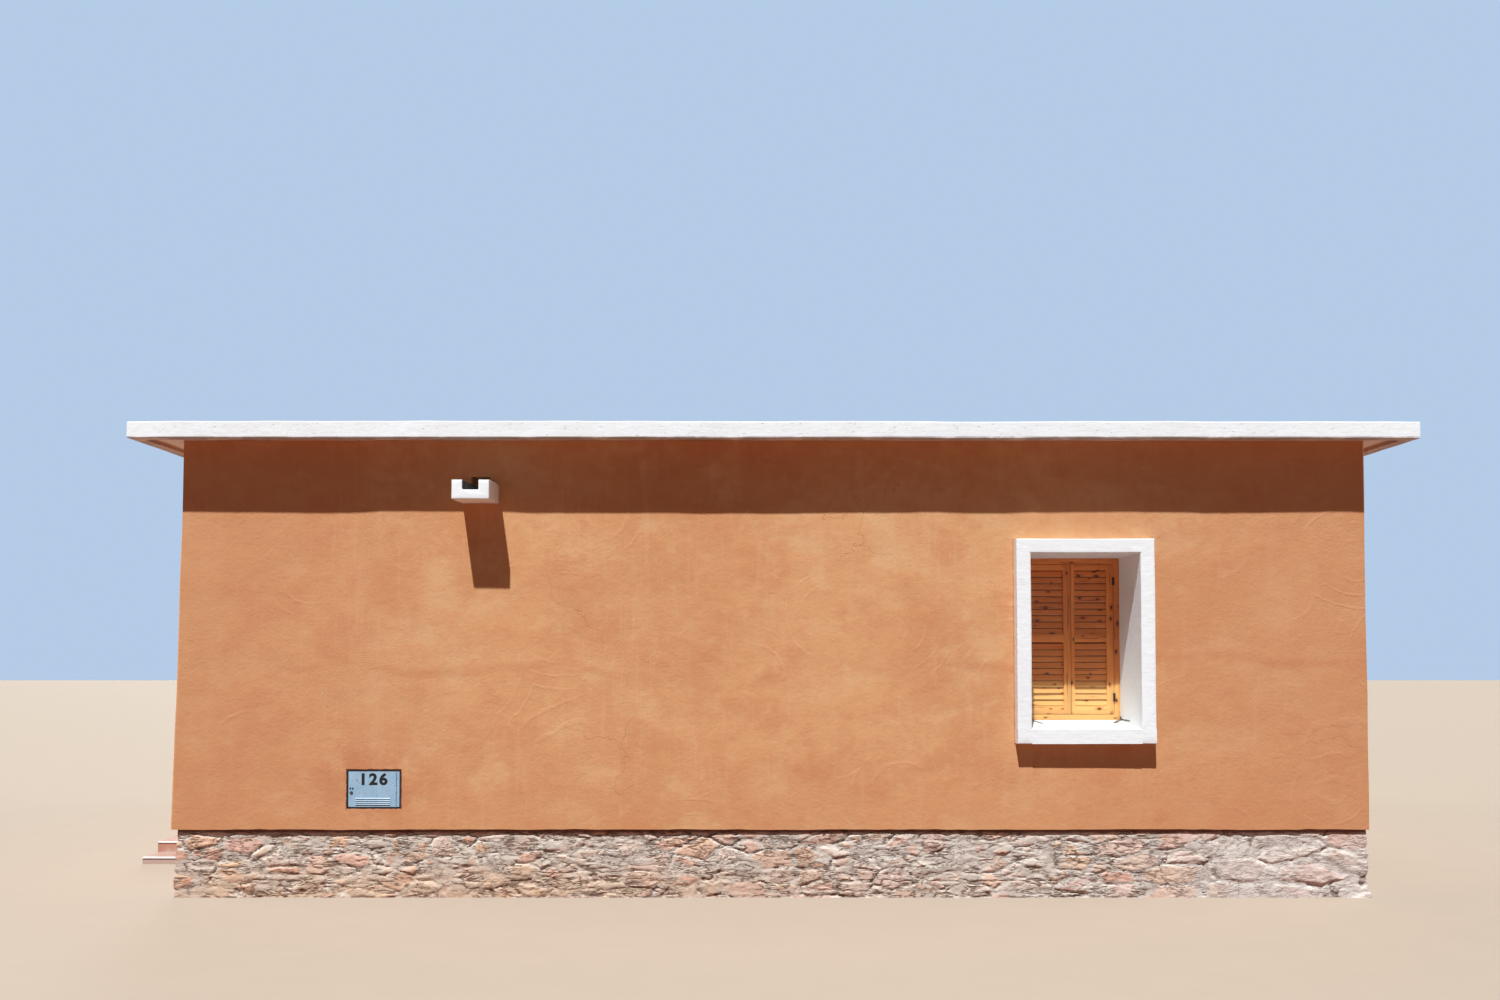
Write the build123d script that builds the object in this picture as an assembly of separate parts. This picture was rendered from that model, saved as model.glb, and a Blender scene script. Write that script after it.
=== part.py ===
from build123d import *
import math
import os

# A single-storey earth house with a flat roof behind a parapet. Millimetres, +Z up, front wall
# towards -Y. The origin is the centre of the plan, on the lowest ground.

# Outer faces of the rendered walls, and the thickness of what they carry
house_length = 8200
house_depth = 5600
wall_thickness = 500
wall_corner_radius = 18
parapet_thickness = 300

# Heights, from the lowest ground up
floor_level = 300
plinth_top = 470
opening_head_height = 2060
wall_over_surround = 103
parapet_height = 410

# Rubble plinth, set back under the lower edge of the render
plinth_setback = 24

# Floor: a slab on rammed fill
floor_slab_thickness = 80

# Flat roof: a deck on the walls, and a screed that falls to the spout
deck_thickness = 180
screed_edge_thickness = 43
screed_fall = 0.015

# Coping on the parapet, with a lip that throws the rain clear of the wall
coping_overhang = 247
coping_inner_overhang = 60
coping_edge_height = 113
coping_inward_fall = 12
coping_lip_width = 90
coping_lip_depth = 28
coping_chamfer = 6

# Rain spout through the parapet, a trough that falls outwards, its centre measured from the left end
spout_end_distance = 2080
spout_width = 250
spout_height = 130
spout_projection = 300
spout_channel_width = 107
spout_floor_thickness = 64
spout_fall = 0.03
spout_chamfer = 4

# Outlet through the parapet, with headroom over the trough
outlet_width = 130
outlet_headroom = 47

# Cast surround round the window and the doorway
surround_band = 97
surround_projection = 90
surround_chamfer = 5

# Window opening in the front wall, its centre measured from the wall's right end
window_end_distance = 1960
window_width = 750
window_height = 1205
window_sill_rise = 38

# Louvred shutters, set deep in the window opening
shutter_setback = 380
shutter_frame_width = 40
shutter_frame_depth = 60
shutter_thickness = 35
shutter_stop = 14
leaf_gap = 3
stile_width = 50
top_rail_height = 44
middle_rail_height = 58
bottom_rail_height = 56
slats_per_panel = 10
slat_width = 53
slat_thickness = 7
slat_tilt = 79
meeting_stile_width = 52
meeting_lap = 22
meeting_lip_thickness = 16

# Shutter hinges: a narrow plate over the joint of frame and leaf, with a knuckle on it
hinge_height = 58
hinge_plate_width = 16
hinge_plate_thickness = 3
hinge_knuckle_radius = 5
hinge_end_distance = 122

# Meter box: a sheet steel tray let into the front wall near its left end, with a door hinged at
# its right
meter_end_distance = 1362
meter_above_plinth = 150
meter_width = 350
meter_height = 242
meter_gap = 6
meter_box_sheet = 3
meter_box_depth = 180
meter_door_sheet = 2
meter_door_fold = 15
hinge_strip_width = 24
hinge_strip_gap = 1.5
barrel_radius = 4
barrel_clearance = 0.5
barrel_tab_width = 12
barrel_tab_thickness = 1.5
barrel_knuckles = 5
knuckle_gap = 2
hinge_pin_radius = 2
hinge_pin_clearance = 0.2

# Vents pressed in the meter door, each a slot under a hood
vent_count = 4
vent_length = 240
vent_pitch = 13
vent_slot_height = 3
vent_hood_height = 7
vent_hood_reach = 5
vent_bottom_distance = 16
vent_left_distance = 48

# Lock of the meter door: a round cylinder with a cam behind the sheet
lock_left_distance = 21
lock_bottom_distance = 97
lock_radius = 11
lock_reach = 3
lock_inner_length = 22
lock_cam_length = 34
lock_cam_width = 14
lock_cam_thickness = 3
keyway_width = 3
keyway_height = 12

# Doorway in the left wall
door_y = 0
door_width = 900
door_setback = 200
door_frame_width = 60
door_frame_depth = 90
door_thickness = 45
door_stop = 18
door_boards = 6
door_groove_depth = 4
threshold_thickness = 60
threshold_nosing = 30
threshold_chamfer = 5

# Handle of the entrance door: a long plate, a spindle and a lever
handle_height = 1000
handle_edge_distance = 60
handle_plate_width = 42
handle_plate_height = 210
handle_plate_thickness = 4
handle_radius = 9
handle_reach = 48
handle_length = 118

# Steps along the left wall, up to the door
steps_reach = 880
steps_front_distance = 1260
first_step_height = 55
landing_below_floor = 160
step_tread = 235
landing_past_door = 150
nosing_depth = 22
nosing_thickness = 9
nosing_overhang = 6

# Worked out from the sizes above
half_length = house_length / 2
half_depth = house_depth / 2
opening_head_level = floor_level + opening_head_height
deck_underside = opening_head_level + surround_band + wall_over_surround
deck_top = deck_underside + deck_thickness
parapet_top = deck_top + parapet_height
screed_low = deck_top + screed_edge_thickness
window_sill_level = opening_head_level - window_height
shutter_sill_level = window_sill_level + window_sill_rise
meter_level = plinth_top + meter_above_plinth
meter_box_gap = meter_gap + meter_box_sheet
meter_hinge_x = meter_width / 2 - hinge_strip_width
meter_hinge_y = -(barrel_radius + barrel_clearance)
landing_level = floor_level - landing_below_floor
steps_front = -half_depth + steps_front_distance
steps_back = door_y + door_width / 2 + landing_past_door
steps_outer = -half_length - steps_reach
plinth_face = -half_length + plinth_setback

# Places on the walls' outer faces: seen from outside, +X runs right and +Y runs into the wall
on_window = Pos(half_length - window_end_distance, -half_depth, 0)
on_meter = Pos(-half_length + meter_end_distance, -half_depth, 0)
on_spout = Pos(-half_length + spout_end_distance, -half_depth, 0)
on_doorway = Pos(-half_length, door_y, 0) * Rot(0, 0, -90)


def block(x, y, z):
    # A box between two limits along each axis
    limits = (x, y, z)
    sides = [high - low for low, high in limits]
    centre = [(low + high) / 2 for low, high in limits]
    return Pos(*centre) * Box(*sides)


def run_of(outline, start, end):
    # A solid with this outline of (y, z) points, from start to end along X
    face = make_face(Polyline(*[(start, y, z) for y, z in outline], close=True))
    return extrude(face, amount=end - start, dir=(1, 0, 0))


def depth_of(outline, start, end):
    # A solid with this outline of (x, z) points, from start to end along Y
    face = make_face(Polyline(*[(x, start, z) for x, z in outline], close=True))
    return extrude(face, amount=end - start, dir=(0, 1, 0))


def portal(half_width, low, high, band):
    # Outline of a head on two jambs, round an opening
    outer = half_width + band
    return [
        (-outer, low), (-outer, high + band), (outer, high + band), (outer, low),
        (half_width, low), (half_width, high), (-half_width, high), (-half_width, low),
    ]


# Walls

def opening_in_wall(width, low):
    # What is cut from a wall for a surround
    half = width / 2 + surround_band
    return block((-half, half), (-wall_thickness, 2 * wall_thickness),
                 (low, opening_head_level + surround_band))


def long_wall(low, high, thickness):
    # The front wall's mass between two levels, with its outer corners rounded
    wall = block((-half_length, half_length), (-half_depth, -half_depth + thickness), (low, high))
    corners = wall.edges().filter_by(Axis.Z).group_by(Axis.Y)[0]
    return fillet(corners, wall_corner_radius)


def front_wall():
    wall = long_wall(plinth_top, deck_underside, wall_thickness)
    wall -= on_window * opening_in_wall(window_width, window_sill_level - surround_band)
    return wall - on_meter * meter_box_outside()


def back_wall():
    return Rot(0, 0, 180) * long_wall(plinth_top, deck_underside, wall_thickness)


def side_wall(y, low=plinth_top, high=deck_underside):
    # A stretch of the left wall
    return block((-half_length, -half_length + wall_thickness), y, (low, high))


def wall_pieces():
    inner = half_depth - wall_thickness
    door_half = door_width / 2 + surround_band
    door_top = opening_head_level + surround_band
    right = Rot(0, 0, 180) * side_wall((-inner, inner))
    return {
        "front_wall": front_wall(),
        "back_wall": back_wall(),
        "right_wall": right,
        "left_wall_front": side_wall((-inner, door_y - door_half)),
        "left_wall_back": side_wall((door_y + door_half, inner)),
        "left_wall_over_door": side_wall((door_y - door_half, door_y + door_half), low=door_top),
    }


def parapet_pieces():
    front = long_wall(deck_underside, parapet_top, parapet_thickness)
    inner = half_depth - parapet_thickness
    left = block((-half_length, -half_length + parapet_thickness), (-inner, inner),
                 (deck_underside, parapet_top))
    return {
        "parapet_front": front - on_spout * spout_outside() - on_spout * outlet(),
        "parapet_back": Rot(0, 0, 180) * front,
        "parapet_left": left,
        "parapet_right": Rot(0, 0, 180) * left,
    }


# Plinth

def plinth_pieces():
    outer_x = half_length - plinth_setback
    outer_y = half_depth - plinth_setback
    inner_x = half_length - wall_thickness
    inner_y = half_depth - wall_thickness
    door_half = door_width / 2 + surround_band
    front = block((-outer_x, outer_x), (-outer_y, -inner_y), (0, plinth_top))
    side = (-outer_x, -inner_x)
    under_door = floor_level - threshold_thickness
    return {
        "plinth_front": front,
        "plinth_back": Rot(0, 0, 180) * front,
        "plinth_right": block((inner_x, outer_x), (-inner_y, inner_y), (0, plinth_top)),
        "plinth_left_front": block(side, (-inner_y, door_y - door_half), (0, plinth_top)),
        "plinth_left_back": block(side, (door_y + door_half, inner_y), (0, plinth_top)),
        "plinth_under_door": block(side, (door_y - door_half, door_y + door_half), (0, under_door)),
    }


# Floor and roof

def floor_pieces():
    x = (-half_length + wall_thickness, half_length - wall_thickness)
    y = (-half_depth + wall_thickness, half_depth - wall_thickness)
    slab_underside = floor_level - floor_slab_thickness
    return {
        "floor_fill": block(x, y, (0, slab_underside)),
        "floor_slab": block(x, y, (slab_underside, floor_level)),
    }


def roof_pieces():
    half_x = half_length - parapet_thickness
    half_y = half_depth - parapet_thickness
    screed_high = screed_low + 2 * half_y * screed_fall
    screed = [(-half_y, deck_top), (-half_y, screed_low), (half_y, screed_high), (half_y, deck_top)]
    return {
        "roof_deck": block((-half_x, half_x), (-half_y, half_y), (deck_underside, deck_top)),
        "roof_screed": run_of(screed, -half_x, half_x),
    }


def coping_run(run_length, wall_face):
    # The coping on a front wall of this length, cut to a mitre at both ends
    top = parapet_top - coping_lip_depth + coping_edge_height
    nose = -wall_face - coping_overhang
    inner = -wall_face + parapet_thickness + coping_inner_overhang
    lip = nose + coping_lip_width
    lip_underside = parapet_top - coping_lip_depth
    outline = [
        (nose, lip_underside), (nose, top - coping_chamfer), (nose + coping_chamfer, top),
        (inner, top - coping_inward_fall), (inner, parapet_top), (lip, parapet_top),
        (lip, lip_underside),
    ]
    outer_half = run_length / 2 + coping_overhang
    inner_half = run_length / 2 - parapet_thickness - coping_inner_overhang
    bar = run_of(outline, -outer_half, outer_half)
    plan = Polyline((-outer_half, nose, lip_underside), (outer_half, nose, lip_underside),
                    (inner_half, inner, lip_underside), (-inner_half, inner, lip_underside),
                    close=True)
    return bar & extrude(make_face(plan), amount=coping_edge_height, dir=(0, 0, 1))


def coping_pieces():
    long_run = coping_run(house_length, half_depth)
    short_run = coping_run(house_depth, half_length)
    return {
        "coping_front": long_run,
        "coping_back": Rot(0, 0, 180) * long_run,
        "coping_right": Rot(0, 0, 90) * short_run,
        "coping_left": Rot(0, 0, -90) * short_run,
    }


def spout_trough(half_width, low, high):
    # A sloping bar from the spout's nose to the inner face of the parapet, between two heights
    # above the trough's underside
    inner_drop = screed_low - spout_floor_thickness
    nose_drop = inner_drop - (spout_projection + parapet_thickness) * spout_fall
    outline = [
        (-spout_projection, nose_drop + low), (-spout_projection, nose_drop + high),
        (parapet_thickness, inner_drop + high), (parapet_thickness, inner_drop + low),
    ]
    return run_of(outline, -half_width, half_width)


def spout_outside():
    return spout_trough(spout_width / 2, 0, spout_height)


def outlet():
    # The hole through the parapet, from the screed's edge to its headroom over the trough
    rim = screed_low - spout_floor_thickness + spout_height
    return block((-outlet_width / 2, outlet_width / 2), (-parapet_thickness, 2 * parapet_thickness),
                 (screed_low, rim + outlet_headroom))


def rain_spout():
    above_rim = 2 * spout_height
    spout = spout_outside()
    spout -= spout_trough(spout_channel_width / 2, spout_floor_thickness, above_rim)
    nose = spout.faces().sort_by(Axis.Y)[0]
    spout = chamfer(nose.edges(), spout_chamfer)
    return on_spout * spout


# Window

def surround(width, low):
    # Head and jambs from in front of the wall through to its inner face
    outline = portal(width / 2, low, opening_head_level, surround_band)
    body = depth_of(outline, -surround_projection, wall_thickness)
    front = body.faces().sort_by(Axis.Y)[0]
    upper = [edge for edge in front.edges() if edge.center().Z > low + surround_chamfer]
    return chamfer(upper, surround_chamfer)


def window_sill():
    # A bar under the jambs, with a slope between them that rises to the shutters
    half = window_width / 2
    underside = window_sill_level - surround_band
    front = -surround_projection
    slope = [
        (front, underside), (front, window_sill_level), (shutter_setback, shutter_sill_level),
        (wall_thickness, shutter_sill_level), (wall_thickness, underside),
    ]
    bar = block((-half - surround_band, half + surround_band), (front, wall_thickness),
                (underside, window_sill_level))
    bar = chamfer(bar.faces().sort_by(Axis.Y)[0].edges().sort_by(Axis.Z)[0], surround_chamfer)
    return on_window * (bar + run_of(slope, -half, half))


def leaf_limits():
    # The shutter leaves' height range, and the outer edge of the right leaf
    low = shutter_sill_level + shutter_frame_width + leaf_gap
    high = opening_head_level - shutter_frame_width - leaf_gap
    edge = window_width / 2 - shutter_frame_width - leaf_gap
    return low, high, edge


def shutter_frame():
    low, high, half = shutter_sill_level, opening_head_level, window_width / 2
    inset = shutter_frame_width
    stop = inset + shutter_stop
    back = shutter_setback + shutter_frame_depth
    seat = shutter_setback + shutter_thickness
    frame = block((-half, half), (shutter_setback, back), (low, high))
    frame -= block((-half + inset, half - inset), (shutter_setback, seat),
                   (low + inset, high - inset))
    frame -= block((-half + stop, half - stop), (shutter_setback, back), (low + stop, high - stop))
    return on_window * frame


def panel_limits():
    # The two slatted panels of a leaf, as ranges of height
    low, high, _ = leaf_limits()
    rails = top_rail_height + middle_rail_height + bottom_rail_height
    height = (high - low - rails) / 2
    lower = low + bottom_rail_height
    upper = lower + height + middle_rail_height
    return [(lower, lower + height), (upper, upper + height)]


def panel_widths():
    # Where the slats of the left and of the right leaf start and end
    edge = leaf_limits()[2]
    left = (-edge + stile_width, meeting_lap - meeting_stile_width)
    right = (leaf_gap / 2 + stile_width, edge - stile_width)
    return left, right


def leaf_frame(front, back, panel_width):
    # Stiles and rails of a leaf, with these widths at its front and at its back, where the
    # meeting stiles are rebated into each other
    low, high, _ = leaf_limits()
    lip = shutter_setback + meeting_lip_thickness
    rear = shutter_setback + shutter_thickness
    frame = block(front, (shutter_setback, lip), (low, high)) + block(back, (lip, rear), (low, high))
    for panel in panel_limits():
        frame -= block(panel_width, (shutter_setback, rear), panel)
    return frame


def shutter_leaves():
    # The left leaf laps over the right one where they meet
    edge = leaf_limits()[2]
    left_panel, right_panel = panel_widths()
    left = leaf_frame((-edge, meeting_lap), (-edge, -leaf_gap / 2), left_panel)
    right = leaf_frame((meeting_lap + leaf_gap, edge), (leaf_gap / 2, edge), right_panel)
    return on_window * left, on_window * right


def leaf_slats(start, end):
    # A leaf's slats, housed between its stiles and lapping to shed the rain
    rise = (slat_width - slat_thickness) * math.sin(math.radians(slat_tilt)) + slat_thickness
    section = Plane.YZ * Rot(0, 0, slat_tilt) * SlotOverall(slat_width, slat_thickness)
    slat = extrude(section, amount=end - start)
    middle_y = shutter_setback + shutter_thickness / 2
    slats = []
    for low, high in panel_limits():
        pitch = (high - low - rise) / (slats_per_panel - 1)
        for i in range(slats_per_panel):
            slats.append(on_window * Pos(start, middle_y, low + rise / 2 + i * pitch) * slat)
    return slats


def shutter_hinge():
    plate = block((-hinge_plate_width / 2, hinge_plate_width / 2), (-hinge_plate_thickness, 0),
                  (-hinge_height / 2, hinge_height / 2))
    knuckle = Pos(0, -hinge_knuckle_radius, 0) * Cylinder(hinge_knuckle_radius, hinge_height)
    return plate + knuckle


def shutter_hinges():
    low, high, edge = leaf_limits()
    joint = edge + leaf_gap / 2
    return [
        on_window * Pos(x, shutter_setback, z) * shutter_hinge()
        for x in (-joint, joint)
        for z in (low + hinge_end_distance, high - hinge_end_distance)
    ]


def window_pieces():
    left, right = shutter_leaves()
    left_panel, right_panel = panel_widths()
    return {
        "window_surround": on_window * surround(window_width, window_sill_level),
        "window_sill": window_sill(),
        "shutter_frame": shutter_frame(),
        "shutter_left_leaf": left,
        "shutter_left_slats": leaf_slats(*left_panel),
        "shutter_right_leaf": right,
        "shutter_right_slats": leaf_slats(*right_panel),
        "shutter_hinges": shutter_hinges(),
    }


# Meter box

def meter_box_space(margin, back):
    # The space of the box, this much larger than its door on every side
    half = meter_width / 2 + margin
    return block((-half, half), (0, back), (meter_level - margin, meter_level + meter_height + margin))


def meter_box_outside():
    return meter_box_space(meter_box_gap, meter_box_depth)


def meter_box():
    inside = meter_box_space(meter_gap, meter_box_depth - meter_box_sheet)
    return on_meter * (meter_box_outside() - inside)


def knuckle_range(i):
    length = (meter_height - (barrel_knuckles - 1) * knuckle_gap) / barrel_knuckles
    low = meter_level + i * (length + knuckle_gap)
    return low, low + length


def knuckle(i, side):
    # One knuckle of the meter door's hinge, with a tab on its leaf: side is 1 for the fixed strip
    # and -1 for the door
    low, high = knuckle_range(i)
    middle = (low + high) / 2
    barrel = Pos(meter_hinge_x, meter_hinge_y, middle) * Cylinder(barrel_radius, high - low)
    ends = sorted([meter_hinge_x, meter_hinge_x + side * barrel_tab_width])
    return barrel + block(ends, (-barrel_tab_thickness, 0), (low, high))


def meter_hinge():
    # A folded strip on the box's right side, with every other knuckle and the pin
    sheet = meter_door_sheet
    top = meter_level + meter_height
    left = meter_hinge_x + hinge_strip_gap
    right = meter_width / 2
    z = (meter_level, top)
    strip = block((left, right), (0, sheet), z)
    strip += block((right - sheet, right), (0, meter_door_fold), z)
    strip += block((right - sheet, right + meter_gap), (meter_door_fold - sheet, meter_door_fold), z)
    for i in range(0, barrel_knuckles, 2):
        strip += knuckle(i, 1)
    pin = Cylinder(hinge_pin_radius, meter_height)
    return on_meter * (strip + Pos(meter_hinge_x, meter_hinge_y, meter_level + meter_height / 2) * pin)


def vent_outlines(i):
    # The slot and the hood of one vent, as outlines of (y, z) points
    foot = meter_level + vent_bottom_distance + i * vent_pitch
    top = foot + vent_hood_height
    sheet = meter_door_sheet
    slot = [(0, foot), (0, foot + vent_slot_height), (sheet, foot + vent_slot_height), (sheet, foot)]
    hood = [(0, top), (-vent_hood_reach, foot), (sheet / 2 - vent_hood_reach, foot),
            (0, top - sheet)]
    return slot, hood


def meter_door():
    # A folded sheet with louvred vents, and its knuckles of the hinge
    sheet = meter_door_sheet
    left = -meter_width / 2
    right = meter_hinge_x - hinge_strip_gap
    low, top = meter_level, meter_level + meter_height
    door = block((left, right), (0, meter_door_fold), (low, top))
    door -= block((left + sheet, right - sheet), (sheet, meter_door_fold), (low + sheet, top - sheet))
    start = left + vent_left_distance
    for i in range(vent_count):
        slot, hood = vent_outlines(i)
        door -= run_of(slot, start, start + vent_length)
        door += run_of(hood, start, start + vent_length)
    for i in range(1, barrel_knuckles, 2):
        door += knuckle(i, -1)
    bore = Cylinder(hinge_pin_radius + hinge_pin_clearance, 2 * meter_height)
    door -= Pos(meter_hinge_x, meter_hinge_y, meter_level + meter_height / 2) * bore
    return on_meter * (door - lock_at(Cylinder(lock_radius, 4 * sheet)))


def lock_at(solid):
    # Stands a piece of the lock on its axis, which points into the wall
    x = -meter_width / 2 + lock_left_distance
    z = meter_level + lock_bottom_distance
    return Pos(x, 0, z) * Rot(90, 0, 0) * solid


def meter_lock():
    # The cylinder with its keyway, turned about the lock's axis, and the cam pointing up
    length = lock_reach + lock_inner_length
    body = lock_at(Pos(0, 0, lock_reach - length / 2) * Cylinder(lock_radius, length))
    x = -meter_width / 2 + lock_left_distance
    z = meter_level + lock_bottom_distance
    keyway = block((x - keyway_width / 2, x + keyway_width / 2), (-lock_reach, 0),
                   (z - keyway_height / 2, z + keyway_height / 2))
    y = (lock_inner_length, lock_inner_length + lock_cam_thickness)
    cam = block((x - lock_cam_width / 2, x + lock_cam_width / 2), y,
                (z - lock_cam_width / 2, z + lock_cam_length))
    return on_meter * (body - keyway + cam)


def meter_pieces():
    return {
        "meter_box": meter_box(),
        "meter_hinge": meter_hinge(),
        "meter_door": meter_door(),
        "meter_lock": meter_lock(),
    }


# Doorway

def door_frame():
    # Head and jambs with a rebate that the door closes against
    half = door_width / 2
    inset = half - door_frame_width
    top = opening_head_level
    back = door_setback + door_frame_depth
    outer = depth_of(portal(inset, floor_level, top - door_frame_width, door_frame_width),
                     door_setback, back)
    stop_half = inset - door_stop
    stop = depth_of(portal(stop_half, floor_level, top - door_frame_width - door_stop, door_stop),
                    door_setback + door_thickness, back)
    return outer + stop


def door_leaf():
    # A flush leaf of upright boards, with a groove at each joint
    half = door_width / 2 - door_frame_width - leaf_gap
    low = floor_level + leaf_gap
    high = opening_head_level - door_frame_width - leaf_gap
    leaf = block((-half, half), (door_setback, door_setback + door_thickness), (low, high))
    board = 2 * half / door_boards
    side = door_groove_depth * math.sqrt(2)
    for i in range(1, door_boards):
        groove = Rot(0, 0, 45) * Box(side, side, 2 * high)
        leaf -= Pos(-half + i * board, door_setback, high) * groove
    return leaf


def door_handle():
    x = door_width / 2 - door_frame_width - handle_edge_distance
    z = floor_level + handle_height
    plate = block((x - handle_plate_width / 2, x + handle_plate_width / 2),
                  (door_setback - handle_plate_thickness, door_setback),
                  (z - handle_plate_height / 2, z + handle_plate_height / 2))
    far = door_setback - handle_plate_thickness - handle_reach
    bend = handle_radius * 2
    path = FilletPolyline((x, door_setback - handle_plate_thickness, z), (x, far, z),
                          (x - handle_length, far, z), radius=bend)
    section = Plane(origin=path @ 0, z_dir=path % 0) * Circle(handle_radius)
    return plate + sweep(section, path=path)


def threshold():
    half = door_width / 2 + surround_band
    slab = block((-half, half), (-surround_projection - threshold_nosing, wall_thickness),
                 (floor_level - threshold_thickness, floor_level))
    return chamfer(slab.faces().sort_by(Axis.Y)[0].edges(), threshold_chamfer)


def doorway_pieces():
    return {
        "door_surround": on_doorway * surround(door_width, floor_level),
        "door_threshold": on_doorway * threshold(),
        "door_frame": on_doorway * door_frame(),
        "entrance_door": on_doorway * door_leaf(),
        "door_handle": on_doorway * door_handle(),
    }


# Steps

def step_ranges():
    # Where each step starts along Y, and its level
    return [(steps_front, first_step_height), (steps_front + step_tread, landing_level)]


def entrance_steps():
    outline = [(steps_back, 0), (steps_front, 0)]
    level = 0
    for start, top in step_ranges():
        outline += [(start, level), (start, top)] if level else [(start, top)]
        level = top
    outline.append((steps_back, level))
    steps = run_of(outline, steps_outer, plinth_face)
    for nosing in nosing_blocks(overhang=0):
        steps -= nosing
    return steps


def nosing_blocks(overhang):
    # The strip along the front edge of each step
    return [
        block((steps_outer, plinth_face), (start - overhang, start + nosing_depth),
              (top - nosing_thickness, top))
        for start, top in step_ranges()
    ]


def step_pieces():
    return {
        "entrance_steps": entrance_steps(),
        "step_nosings": nosing_blocks(nosing_overhang),
    }


pieces = {}
for group in (plinth_pieces, floor_pieces, wall_pieces, roof_pieces, parapet_pieces, coping_pieces,
              window_pieces, meter_pieces, doorway_pieces, step_pieces):
    pieces.update(group())
pieces["rain_spout"] = rain_spout()

os.makedirs("parts", exist_ok=True)
for name, piece in pieces.items():
    solids = piece if isinstance(piece, list) else [piece]
    export_step(Compound(children=solids) if len(solids) > 1 else piece, f"parts/{name}.step")
    print(name, round(sum(solid.volume for solid in solids) / 1e6, 3), "litres")
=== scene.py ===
import math

import bmesh
import bpy
import mathutils
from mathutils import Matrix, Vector


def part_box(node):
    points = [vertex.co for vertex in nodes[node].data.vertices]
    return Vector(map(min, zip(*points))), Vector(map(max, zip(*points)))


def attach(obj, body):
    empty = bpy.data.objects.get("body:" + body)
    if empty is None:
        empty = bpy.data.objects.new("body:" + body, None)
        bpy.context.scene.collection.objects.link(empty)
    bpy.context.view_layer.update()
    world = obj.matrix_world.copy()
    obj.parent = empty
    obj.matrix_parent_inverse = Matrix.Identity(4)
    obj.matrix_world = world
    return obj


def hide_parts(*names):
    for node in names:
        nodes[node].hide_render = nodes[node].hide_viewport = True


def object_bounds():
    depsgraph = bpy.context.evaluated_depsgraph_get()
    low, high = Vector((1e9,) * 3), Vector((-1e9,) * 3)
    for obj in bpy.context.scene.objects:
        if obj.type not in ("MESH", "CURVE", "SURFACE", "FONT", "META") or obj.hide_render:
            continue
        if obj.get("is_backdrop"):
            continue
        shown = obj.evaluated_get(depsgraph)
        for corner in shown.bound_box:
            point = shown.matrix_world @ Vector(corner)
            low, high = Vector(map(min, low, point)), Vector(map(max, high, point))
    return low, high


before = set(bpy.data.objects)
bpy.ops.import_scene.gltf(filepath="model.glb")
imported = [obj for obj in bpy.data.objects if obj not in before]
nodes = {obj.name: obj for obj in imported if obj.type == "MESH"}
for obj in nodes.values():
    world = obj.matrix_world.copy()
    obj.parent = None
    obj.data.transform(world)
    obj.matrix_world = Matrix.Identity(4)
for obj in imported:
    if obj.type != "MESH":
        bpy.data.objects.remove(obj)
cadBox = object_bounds()
scene = bpy.context.scene
print("frame loaded,", len(nodes), "nodes")


def placed(name, data):
    item = bpy.data.objects.new(name, data)
    scene.collection.objects.link(item)
    return item


def plainMesh(holder, name):
    # The mesh that the holder's modifiers or its curve give; the holder goes
    graph = bpy.context.evaluated_depsgraph_get()
    mesh = bpy.data.meshes.new_from_object(holder.evaluated_get(graph))
    mesh.name = name
    bpy.data.objects.remove(holder)
    return mesh


# Camera and lamps

view = {"place": (-0.155, -10.731, 1.676), "tilt": 91.8, "lens": 27.6, "rise": 0.0779}

cameraData = bpy.data.cameras.new("camera")
cameraData.lens = view["lens"]
cameraData.shift_y = view["rise"]
camera = placed("camera", cameraData)
camera.location = view["place"]
camera.rotation_euler = (math.radians(view["tilt"]), 0, 0)
scene.camera = camera

# each lamp: its way, what a surface that faces it receives, its width in degrees, its colour
lamps = {
    "keyLight": ((0.28, 1.0, -1.95), 1.755, 0.9, (0.98, 1.0, 1.02)),
    "backLight": ((0.25, -1.0, -0.1), 0.775, 30, (1.0, 1.0, 1.0)),
    "leftLight": ((1.0, -0.2, -0.1), 0.705, 25, (1.0, 1.0, 1.0)),
    "rightLight": ((-1.0, -0.2, -0.1), 0.705, 25, (1.0, 1.0, 1.0)),
}
for name, (way, level, wide, colour) in lamps.items():
    light = bpy.data.lights.new(name, "SUN")
    light.energy = level * math.pi
    light.angle = math.radians(wide)
    light.color = colour
    placed(name, light).rotation_euler = Vector(way).to_track_quat("-Z", "Y").to_euler()

scene.view_settings.view_transform = "Standard"


# Node trees written as expressions

def maths(name, swapped=False):
    def method(self, *others):
        values = (*others, self) if swapped else (self, *others)
        return self.sheet.add("ShaderNodeMath", dict(enumerate(values)), operation=name)
    return method


def axisOf(name):
    return property(lambda self: self.sheet.add("ShaderNodeSeparateXYZ", {"Vector": self}, name))


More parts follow.
